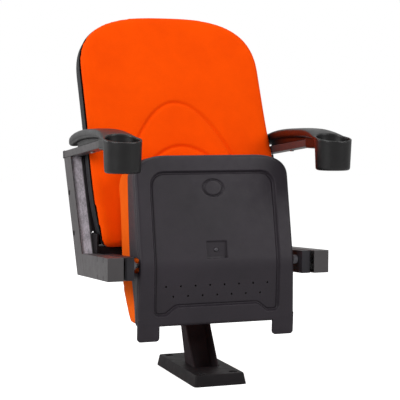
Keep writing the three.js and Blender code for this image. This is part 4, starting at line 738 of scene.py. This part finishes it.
def back_shell():
    """The moulded shell behind the cushion: a round-edged tray whose foot rises to the rear, with a rolled
    lip round its mouth."""
    rise, inside = SHELL_RISE / SHELL_DEPTH, SHELL_DEPTH - SHELL_WALL
    # Rear face from its middle outwards, round edge, side and lip
    rings = [back_slice(inset, SHELL_DEPTH, SHELL_RISE) for inset in (100.0, 70.0, 45.0, 30.0, 22.0)]
    for share in np.linspace(1.0, 0.12, 9):
        turn = share * math.pi / 2
        depth = SHELL_DEPTH - SHELL_EDGE + SHELL_EDGE * math.sin(turn)
        rings.append(back_slice(SHELL_EDGE * (1 - math.cos(turn)) - 1.0, depth, rise * depth))
    for inset, depth in ((-1.0, 42.0), (-1.0, 32.0), (-1.0, 20.0), (-1.0, 12.0), (-0.7, 11.3), (-0.2, 11.2)):
        rings.append(back_slice(inset, depth, rise * depth))
    # Inside, from the lip to the middle
    for inset, depth in ((0.8, 11.1), (1.6, 11.4), (2.0, 12.2), (2.0, 26.0), (2.0, 40.0), (5.0, 48.0),
                         (12.0, 54.0), (22.0, inside), (45.0, inside)):
        rings.append(back_slice(inset, depth, rise * depth + 6))
    rings.append(back_slice(100.0, inside, SHELL_RISE + 6))
    obj = skin("back_shell_moulding", rings, at_back_centre(SHELL_DEPTH), at_back_centre(inside))
    return finished(obj, SHELL_PLASTIC, "frame", "black_plastic", "back_shell")


# Seat

def on_seat(x, y, z):
    """Points of the seat's own frame (across, to its rear, up) as the seat stands tipped up."""
    sin, cos = math.sin(TIPPED), math.cos(TIPPED)
    return np.stack([x + 0 * y, PIVOT_Y + y * cos - z * sin, PIVOT_Z + y * sin + z * cos], axis=-1)


def pan_outline():
    """The pan from below: a superellipse front, sides that flare to the rear and small rear corners."""
    turn = np.radians(np.linspace(0, 90, 60))
    front = np.column_stack([PAN_FLAT + (PAN_HALF - PAN_FLAT) * np.sin(turn) ** (2 / PAN_POWER),
                             -PAN_SIDE - (PAN_FRONT - PAN_SIDE) * np.cos(turn) ** (2 / PAN_POWER)])
    turn = np.radians(np.linspace(0, 90, 10))
    rear = np.column_stack([PAN_REAR_HALF - PAN_CORNER + PAN_CORNER * np.cos(turn),
                            PAN_REAR - PAN_CORNER + PAN_CORNER * np.sin(turn)])
    right = np.vstack([front, [[PAN_HALF, PAN_TAPER_Y]], rear])
    return np.vstack([right, right[::-1] * [-1, 1]])


def pan_under(y):
    """Height of the underside: two planes, blended by a parabola over KEEL_BLEND each side of the keel."""
    front, rear = -FRONT_RISE / (PAN_FRONT + KEEL_Y), REAR_RISE / (REAR_RISE_Y - KEEL_Y)
    away = y - KEEL_Y
    t = np.clip((away + KEEL_BLEND) / (2 * KEEL_BLEND), 0, 1)
    bend = (rear - front) * KEEL_BLEND * (t**2)
    flat = np.where(away < KEEL_BLEND, front * away + bend, rear * away)
    return KEEL_Z + flat


def pan_rim(y):
    """Height of the pan's rim: a flat parabola, and behind the pivot a quarter wave down, so that the
    cushion shows down to the rear edge and the pan passes the back."""
    dip = RIM_DIP * np.sin(np.clip(y / RIM_DIP_Y, 0, 1) * math.pi / 2)
    return RIM_HIGH - RIM_FALL * ((y - RIM_Y) / PAN_FRONT) ** 2 - dip


def panel_outline():
    """The recessed panel: round front corners, smaller rear ones and a stepped notch at the rear."""
    half, rear = PANEL_HALF, PANEL_REAR
    right = [(half, -PANEL_FRONT, PANEL_CORNER), (half, rear, 16.0), (half - 37, rear, 18.0),
             (half - 64, rear - 21, 10.0)]
    left = [(-x, y, r) for x, y, r in right[::-1]]
    return filleted(right + left)


def pan_tab(side):
    """A rounded foot that stands out behind the pan, level with its underside and square to its edge."""
    slope = math.atan(REAR_RISE / (REAR_RISE_Y - KEEL_Y))
    on_slope = Matrix.Translation((0, KEEL_Y, KEEL_Z)) @ Matrix.Rotation(slope, 4, "X")
    outline = filleted([(TAB_OUTER, TAB_START, 2), (TAB_OUTER, TAB_END, TAB_ROUND),
                        (TAB_INNER, TAB_END, TAB_ROUND), (TAB_INNER, TAB_START, 2)])
    if side < 0:
        outline = outline[::-1] * [-1, 1]
    return prism("tab", outline, 0.2, 11.5, SEAT_PLACE @ on_slope, edge=2.4)


PAN_MIDDLE = np.array([0.0, SQUARE_Y])
# The panel's edge from the panel outwards, as (inset from the panel's outline, height over the underside):
# a channel, a round shoulder and the wall down to the border
PANEL_EDGE = ((11.0, 7.02), (10.4, 7.12), (9.6, 7.5), (8.8, 8.1), (8.0, 8.7), (7.2, 9.0), (6.2, 9.05),
              (5.4, 8.7), (4.8, 8.0), (4.0, 6.6), (3.0, 4.6), (2.0, 2.6), (1.2, 1.1), (0.6, 0.4), (0.0, 0.1),
              (-0.7, 0.0), (-2.0, 0.0))


def pan_skin():
    """The pan as rings about the square recess: its floor and walls, the panel with the oval groove, the
    panel's edge, the border, a round edge, the side wall with a fine groove, the rim and the inside."""
    angles = np.linspace(-math.pi, math.pi, 480, endpoint=False)
    ray = np.column_stack([np.cos(angles), np.sin(angles)])
    level = pan_under(np.array(SQUARE_Y)) + SQUARE_DEEP
    rings = []

    def drawn(outline):
        return PAN_MIDDLE + ray * reach(outline, PAN_MIDDLE, angles)[:, None]

    def put(ring, rise=None, height=None):
        z = pan_under(ring[:, 1]) + rise if height is None else height + 0 * ring[:, 0]
        rings.append(on_seat(ring[:, 0], ring[:, 1], z))

    square = drawn(round_rect(SQUARE_HALF_X, SQUARE_HALF_Y, 2.0) + PAN_MIDDLE)
    panel, wall = drawn(panel_outline()), drawn(pan_outline())
    # Square recess
    for share in (0.25, 0.5, 0.75):
        put(PAN_MIDDLE + (square - PAN_MIDDLE) * share, height=level)
    put(offset(square, -1.6), height=level)
    put(offset(square, -0.9), height=level - 0.5)
    put(offset(square, -0.4), rise=8.0)
    put(offset(square, 0.2), rise=7.2)
    # Panel with the oval groove
    inner, outer = offset(square, 0.9), offset(panel, -11.6)
    for share in np.concatenate([np.linspace(0, 0.66, 40), np.linspace(0.66, 0.97, 44)[1:], [0.985, 1.0]]):
        ring = inner + (outer - inner) * share
        oval = np.hypot(ring[:, 0] / OVAL_HALF_X, (ring[:, 1] - OVAL_Y) / OVAL_HALF_Y)
        groove = OVAL_DEEP * (1 - soft((np.abs(oval - 1) * 24.0 - 1.5) / 1.5))
        dome = 0.6 * (1 - soft((oval - 0.7) / 0.3))
        put(ring, rise=PANEL_STEP + groove - dome)
    for inset, rise in PANEL_EDGE:
        put(offset(panel, -inset), rise=rise)
    # Border and round edge
    inner, outer = offset(panel, 3.0), offset(wall, -PAN_EDGE)
    for share in np.linspace(0.12, 1.0, 9):
        put(inner + (outer - inner) * share, rise=0.0)
    for turn in np.radians(np.linspace(12, 90, 8)):
        put(offset(wall, -PAN_EDGE * (1 - math.sin(turn))), rise=PAN_EDGE * (1 - math.cos(turn)))
    # Side wall and rim
    for inset, rise in ((0.4, 1.0), (1.6, 1.6), (2.3, 2.4), (2.3, 3.6), (1.4, 4.6), (0.3, 5.2)):
        put(offset(wall, -inset), rise=PAN_EDGE + rise)
    low, high = pan_under(wall[:, 1]) + PAN_EDGE + 5.6, pan_rim(wall[:, 1]) - 1.4
    for share in np.linspace(0.15, 1.0, 9):
        put(wall, height=low + (high - low) * share)
    for inset, drop in ((0.5, 0.4), (1.3, 0.0), (2.7, 0.0), (3.5, 0.4), (PAN_WALL, 1.4)):
        put(offset(wall, -inset), height=pan_rim(wall[:, 1]) - drop)
    # Inside
    inside = offset(wall, -PAN_WALL)
    for share in np.linspace(0.8, 0.0, 5):
        put(inside, height=pan_under(inside[:, 1]) + 13 + (high - pan_under(inside[:, 1]) - 13) * share)
    put(offset(wall, -8.0), rise=6.0)
    put(offset(wall, -13.0), rise=PAN_WALL)
    put(offset(panel, 2.5), rise=PAN_WALL)
    inner, outer = offset(square, 5.0), offset(panel, -4.0)
    for share in (1.0, 0.75, 0.5, 0.25, 0.0):
        put(inner + (outer - inner) * share, rise=11.6)
    put(offset(square, 3.0), height=level + PAN_WALL)
    put(PAN_MIDDLE + (square - PAN_MIDDLE) * 0.5, height=level + PAN_WALL)
    first, last = (on_seat(PAN_MIDDLE[:1], PAN_MIDDLE[1:], z)[0] for z in (level, level + PAN_WALL))
    return skin("seat_pan_moulding", rings, first, last)


def drilled(name, radius, x, y, top, sides):
    """A cutter for a round hole up through the pan."""
    return turned(name, [(0, -40), (radius, -40), (radius, top), (0, top)], sides,
                  SEAT_PLACE @ Matrix.Translation((x, y, 0)))


def seat_pan():
    """The moulded seat pan with its two feet, vent holes, the screw's hole and a notch for each pin."""
    pan = together(pan_skin(), [pan_tab(1), pan_tab(-1)])
    cutters = []
    for y, count in VENT_ROWS:
        for i in range(count):
            cutters.append(drilled("vent", VENT_RADIUS, (i - (count - 1) / 2) * VENT_STEP, y, 0, 14))
    turn = np.radians(np.linspace(0, -180, 21))
    notch = np.vstack([np.column_stack([NOTCH_RADIUS * np.cos(turn), NOTCH_RADIUS * np.sin(turn)]),
                       [[-NOTCH_RADIUS, 120], [NOTCH_RADIUS, 120]]])
    for low, high in ((NOTCH_INNER, NOTCH_OUTER), (-NOTCH_OUTER, -NOTCH_INNER)):
        cutters.append(prism("notch", notch, low, high, SEAT_PLACE @ ON_SIDE))
    cutters.append(drilled("screw_hole", 2.9, 0, SQUARE_Y, 20, 16))
    together(pan, cutters, "DIFFERENCE")
    return finished(pan, PAN_PLASTIC, "seat", "pan_plastic", "seat_pan")


def rolled(x, y, z):
    """The rear is one long roll: behind the pivot, height falls by a power curve to the pan's rim."""
    share = np.clip(y / (PAN_REAR - 1.0), 0, None)
    roof = SEAT_TOP + SEAT_CROWN - ROLL_FALL * share**ROLL_POWER
    return on_seat(x, np.where(share > 0, (PAN_REAR - ROLL_IN) * share, y), np.minimum(z, roof))


def seat_pad():
    """The seat cushion's closed form before it is filled: it fills the pan round the board and is a little
    crowned on top. Its upper edge is a small round at the sides and rear and a large one at the front."""
    angles = np.linspace(-math.pi, math.pi, 360, endpoint=False)
    centre = np.array([0.0, KEEL_Y])
    full = reach(pan_outline(), centre, angles)
    ray = np.column_stack([np.cos(angles), np.sin(angles)])

    def at(distance):
        return centre + ray * distance[:, None]

    board, inside, lip = at(full - 25.5), at(full - 6.2), at(full - 0.5)
    rings = [on_seat(*board.T, BOARD_TOP + 0 * full)]
    for ring in (board, inside):
        rings.append(on_seat(*ring.T, pan_under(ring[:, 1]) + 15.0))
    rings.append(on_seat(*inside.T, pan_rim(inside[:, 1]) - 2.0))
    rings.append(rolled(*lip.T, pan_rim(lip[:, 1]) + 3.5))
    edge = 7.0 + 45.0 * soft((-np.sin(angles) - 0.7) / 0.1)
    for turn in np.radians(np.linspace(0, 90, 12)):
        radius = full - 0.5 - edge * (1 - math.cos(turn))
        share = radius / (full - 0.5)
        z = SEAT_TOP - edge * (1 - math.sin(turn)) + SEAT_CROWN * (1 - share**2)
        rings.append(rolled(*at(radius).T, z))
    for step in np.linspace(0.96, 0.04, 30):
        inner = share * step
        rings.append(rolled(*at(inner * (full - 0.5)).T, SEAT_TOP + SEAT_CROWN * (1 - inner**2)))
    first, last = (on_seat(centre[:1], centre[1:], np.array([z]))[0] for z in (BOARD_TOP, SEAT_TOP + 2.0))
    return skin("seat_pad", rings, first, last)


def seat_cushion():
    """The padded seat: the filled form, made finer, with room cut for the hub plates and their pins."""
    obj = finer(puffed(seat_pad(), 5.0))
    cutters = []
    # A pocket 38 x 80 mm and 44 mm high for each hub plate, and an 18 mm bore for each pin
    for side in (1, -1):
        cutters.append(prism("pocket", round_rect(19.0, 40.0, 3.0), -28, 16,
                             SEAT_PLACE @ Matrix.Translation((side * 174, 0, 0))))
        cutters.append(turned("bore", [(0, 186), (9, 186), (9, 214), (0, 214)], 24,
                              SEAT_PLACE @ Matrix.Rotation(side * math.pi / 2, 4, "Y")))
    together(obj, cutters, "DIFFERENCE")
    finished(obj, SEAT_CLOTH_PAINTED_LIGHT, "seat", "orange_cloth", "seat_cushion")
    return obj


# Armrests, springs, plugs and welds

# The pad at shares of its length from the rear: top and foot over ARM_TIP_Z in shares of ARM_RISE,
# then width and outward shift in shares of ARM_WIDE
ARM_TABLE = np.array([
    [0, .06, -.06, .30, .135], [.012, .26, -.24, .52, .135], [.05, .46, -.26, .68, .135],
    [.12, .66, -.10, .75, .135], [.225, .86, .12, .77, .135], [.33, .97, .26, .84, .115],
    [.54, 1.07, .40, 1.06, .077], [.68, 1.10, .44, 1.28, .058], [.79, 1.04, .42, 1.46, .038],
    [.88, .86, .38, 1.66, .019], [.94, .68, .30, 1.80, .008], [1, .48, .18, 1.84, 0]])


def arm_pad():
    """The arm pad: superellipse sections whose top, foot, width and shift follow smooth curves along it."""
    along = np.concatenate([np.linspace(0, 0.05, 9), np.linspace(0.05, 1, 64)[1:]])
    top, low, wide, shift = (curve_through(ARM_TABLE[:, 0], column, along)[:, None]
                             for column in ARM_TABLE[:, 1:].T)
    angle = np.arange(72) * 2 * math.pi / 72
    across, up = (np.sign(wave) * np.abs(wave) ** (2 / ARM_POWER) for wave in (np.cos(angle), np.sin(angle)))
    x = ARM_X + ARM_WIDE * shift + ARM_WIDE * wide / 2 * across
    z = ARM_TIP_Z + ARM_RISE * ((top + low) / 2 + (top - low) / 2 * up)
    y = ARM_REAR_Y + (CUP_Y - ARM_REAR_Y) * along[:, None] + 0 * x
    rings = np.stack([x, y, z], axis=-1)
    return skin("arm_pad", rings, rings[0].mean(axis=0), rings[-1].mean(axis=0))


def tube_foot(y):
    """Height of the arm tube's underside."""
    return TUBE_REAR_Z + (TUBE_REAR_Y - y) * math.tan(TUBE_SLOPE)


def tube_roof(y):
    """Height of the arm tube's top."""
    return tube_foot(y) + TUBE_HIGH / math.cos(TUBE_SLOPE)


def armrest():
    """The right armrest: pad, cup, the sleeve round the tube and the rib under the pad joined, then hollowed
    for the cup and the tube."""
    pad = arm_pad()
    on_cup = Matrix.Translation((ARM_X, CUP_Y, 0))
    cup = turned("cup", [(0, CUP_FOOT_Z), (CUP_FOOT - 7, CUP_FOOT_Z), (CUP_FOOT - 3.2, CUP_FOOT_Z + 1.1),
                         (CUP_FOOT - 0.8, CUP_FOOT_Z + 3.6), (CUP_FOOT, CUP_FOOT_Z + 7),
                         (CUP_TOP, CUP_RIM_Z), (CUP_TOP + 0.4, CUP_BLANK_Z), (0, CUP_BLANK_Z)], 128, on_cup)
    lid = prism("lid", round_rect(110, 110, 5), 0, 60,
                Matrix.Translation((ARM_X, CUP_Y, CUP_RIM_Z)) @ Matrix.Rotation(CUP_SLOPE, 4, "X"))
    together(cup, [lid], "DIFFERENCE")
    rear = TUBE_FRONT_Y + 80.0
    high = tube_roof(rear) - tube_foot(TUBE_FRONT_Y) + 17.0
    middle = tube_foot(rear) - 4.7 + high / 2
    sleeve = prism("sleeve", round_rect(22.2, high / 2, 7), -rear, -(TUBE_FRONT_Y - 20.0),
                   Matrix.Translation((TUBE_X, 0, middle)) @ LYING, edge=3.0)
    rib_front, rib_rear, rib_top = rear - 3, 172, 647
    rib = prism("rib", [(rib_front, tube_foot(rear)), (rib_rear, tube_foot(rib_rear)), (rib_rear, rib_top),
                        (rib_front, rib_top)], TUBE_X - 9, TUBE_X + 9, ON_SIDE)
    together(pad, [cup, sleeve, rib])
    bore = turned("bore", [(0, CUP_FLOOR_Z), (36.6, CUP_FLOOR_Z), (39, CUP_FLOOR_Z + 1.2),
                           (40, CUP_FLOOR_Z + 3.5), (43.2, CUP_RIM_Z), (43.2, 700), (0, 700)], 128, on_cup)
    front, open_y = TUBE_FRONT_Y - TUBE_GAP - TUBE_HIGH * math.tan(TUBE_SLOPE), 300
    pocket = prism("pocket", [(front, tube_foot(front) - TUBE_GAP), (open_y, tube_foot(open_y) - TUBE_GAP),
                              (open_y, tube_roof(open_y) + TUBE_GAP), (front, tube_roof(front) + TUBE_GAP)],
                   TUBE_X - TUBE_HALF - TUBE_GAP, TUBE_X + TUBE_HALF + TUBE_GAP, ON_SIDE)
    together(pad, [bore, pocket], "DIFFERENCE")
    return moulded(pad, 1.7, 5)


def coil():
    """The right return spring: a helix of round wire about the pin."""
    t = np.linspace(0, 1, 109)
    turn = 2 * math.pi * COIL_TURNS * t
    path = np.column_stack([COIL_X + COIL_LONG * t, PIVOT_Y + COIL_RADIUS * np.cos(turn),
                            PIVOT_Z + COIL_RADIUS * np.sin(turn)])
    return tube("coil", path, COIL_WIRE, 12)


def hole_plug(y, z):
    """A low domed plug over a hole in the right upright's outer side."""
    return turned("plug", [(0, -0.6), (PLUG_RADIUS, -0.6), (PLUG_RADIUS, 0.5), (6.6, 1.2), (0, 1.5)], 32,
                  Matrix.Translation((PLUG_X, y, z)) @ Matrix.Rotation(math.pi / 2, 4, "Y"))


def bead(name, corners, radius):
    """A weld bead: a tube along straight runs, its radius rippled by the puddles left as it was laid."""
    corners = np.asarray(corners, float)
    length = np.concatenate([[0], np.cumsum(np.linalg.norm(np.diff(corners, axis=0), axis=1))])
    at = np.linspace(0, length[-1], max(12, int(length[-1] / 1.2)))
    path = np.column_stack([np.interp(at, length, corners[:, k]) for k in range(3)])
    ripple = 1 + 0.12 * np.sin(at * 2 * math.pi / 3.4) + 0.1 * RNG.standard_normal(len(at))
    ripple[[0, -1]] = 0.4
    return tube(name, path, radius * ripple, 10)


def welds():
    """A bead along three sides of the leg's top, and one round each end of the beam."""
    half, front, rear, z = 36.0, 90.0, 130.0, 311.5
    path = [(-half, front, z), (-half, rear, z), (half, rear, z), (half, front, z)]
    finished(bead("weld_post_head", path, 2.4), BLACK_COAT, "frame", "black_steel")
    x, front, rear, low, high, cut = 263.2, 71.6, 132.4, 317.6, 348.4, 2.4
    loop = [(front + cut, low), (rear - cut, low), (rear, low + cut), (rear, high - cut), (rear - cut, high),
            (front + cut, high), (front, high - cut), (front, low + cut), (front + cut, low)]
    on_both_sides(bead("weld", [(x, y, z) for y, z in loop], 2.0), "weld_beam", BLACK_COAT, "black_steel")


back_cushion()
back_shell()
seat_pan()
seat_cushion()
on_both_sides(armrest(), "armrest_moulding", ARM_PLASTIC, "black_plastic", "armrest")
on_both_sides(coil(), "return_spring_coil", SPRING_WIRE, "zinc_steel", "return_spring")
for number, (plug_y, plug_z) in enumerate(PLUG_PLACES, 1):
    on_both_sides(hole_plug(plug_y, plug_z), f"hole_plug_{number}", RUBBER, "rubber")
welds()


# Camera, floor and light

def camera():
    """A long lens to the left of the seat, a little above it, looking slightly down."""
    place, turn, dip, roll = (-1147.6, -3154.4, 715.5), *(math.radians(a) for a in (19.96, 4.118, 0.193))
    ahead = Vector((math.sin(turn) * math.cos(dip), math.cos(turn) * math.cos(dip), -math.sin(dip)))
    right = Vector((math.cos(turn), -math.sin(turn), 0))
    up = right.cross(ahead)
    right, up = math.cos(roll) * right + math.sin(roll) * up, math.cos(roll) * up - math.sin(roll) * right
    data = bpy.data.cameras.new("camera")
    data.lens, data.sensor_width, data.clip_start, data.clip_end = 112.5, 36.0, 0.1, 60.0
    obj = placed("camera", data)
    axes = Matrix((right, up, -ahead)).transposed()
    obj.matrix_world = Matrix.Translation(Vector(place) * MM) @ axes.to_4x4()
    bpy.context.scene.camera = obj


def softbox(name, place, height, size, power):
    """A square area lamp at a place in metres, facing the seat's middle line at a height."""
    data = bpy.data.lights.new(name, "AREA")
    data.shape, data.size, data.size_y, data.energy = "RECTANGLE", size, size, power
    obj = placed(name, data)
    obj.location = place
    obj.rotation_mode = "QUATERNION"
    obj.rotation_quaternion = (Vector((0, 0, height)) - Vector(place)).to_track_quat("-Z", "Y")


def floor():
    """A plain pale sheet, 18 m square; the lift that makes it white is given to the camera only."""
    material, tree = new_material("pale_floor")
    seen = add(tree, "LightPath")
    strength = add(tree, "Math", {"operation": "MULTIPLY"}, _0=(seen, "Is Camera Ray"), _1=0.75)
    speckle = add(tree, "TexNoise", Scale=3.0, Detail=2.0)
    shade = add(tree, "ValToRGB", Fac=speckle)
    shaded(shade, 0.0, "#D2D2D2", 1.0, "#D8D8D8")
    sheet = add(tree, "BsdfPrincipled", Base_Color=shade, Roughness=0.9, Emission_Color=linear("#FFFFFF"),
                Emission_Strength=strength, Specular_IOR_Level=0.0)
    add(tree, "OutputMaterial", Surface=sheet)
    sheet_ends = [(x * 9000, y * 9000, 0) for x, y in ((-1, -1), (1, -1), (1, 1), (-1, 1))]
    obj = mesh_of("floor", sheet_ends, [[0, 1, 2, 3]])
    obj.data.materials.append(material)


def surroundings():
    """A white room: full white to the eye, soft and even on the surfaces, stronger in reflections."""
    world = bpy.data.worlds.new("room")
    bpy.context.scene.world = world
    world.use_nodes = True
    tree = world.node_tree
    tree.nodes.clear()
    seen = add(tree, "LightPath")
    plain = add(tree, "Math", {"operation": "MAXIMUM"}, _0=(seen, "Is Camera Ray"),
                _1=(seen, "Is Transmission Ray"))
    soft_light = add(tree, "Math", {"operation": "MULTIPLY_ADD"}, _0=(seen, "Is Glossy Ray"), _1=0.22,
                     _2=0.42)
    level = add(tree, "Math", {"operation": "MAXIMUM"}, _0=plain, _1=soft_light)
    light = add(tree, "Background", Color=linear("#FFFFFF"), Strength=level)
    add(tree, "OutputWorld", Surface=light)


camera()
floor()
surroundings()
bpy.context.scene.view_settings.view_transform = "Standard"
softbox("softbox_left", (-3.2, -1.8, 2.3), 0.5, 1.8, 86)
softbox("softbox_right", (2.3, -2.8, 2.4), 0.5, 1.8, 70)
softbox("softbox_rear", (-3.0, 1.9, 1.5), 0.6, 1.6, 40)
softbox("softbox_top", (0.0, 0.2, 3.6), 0.4, 2.2, 38)
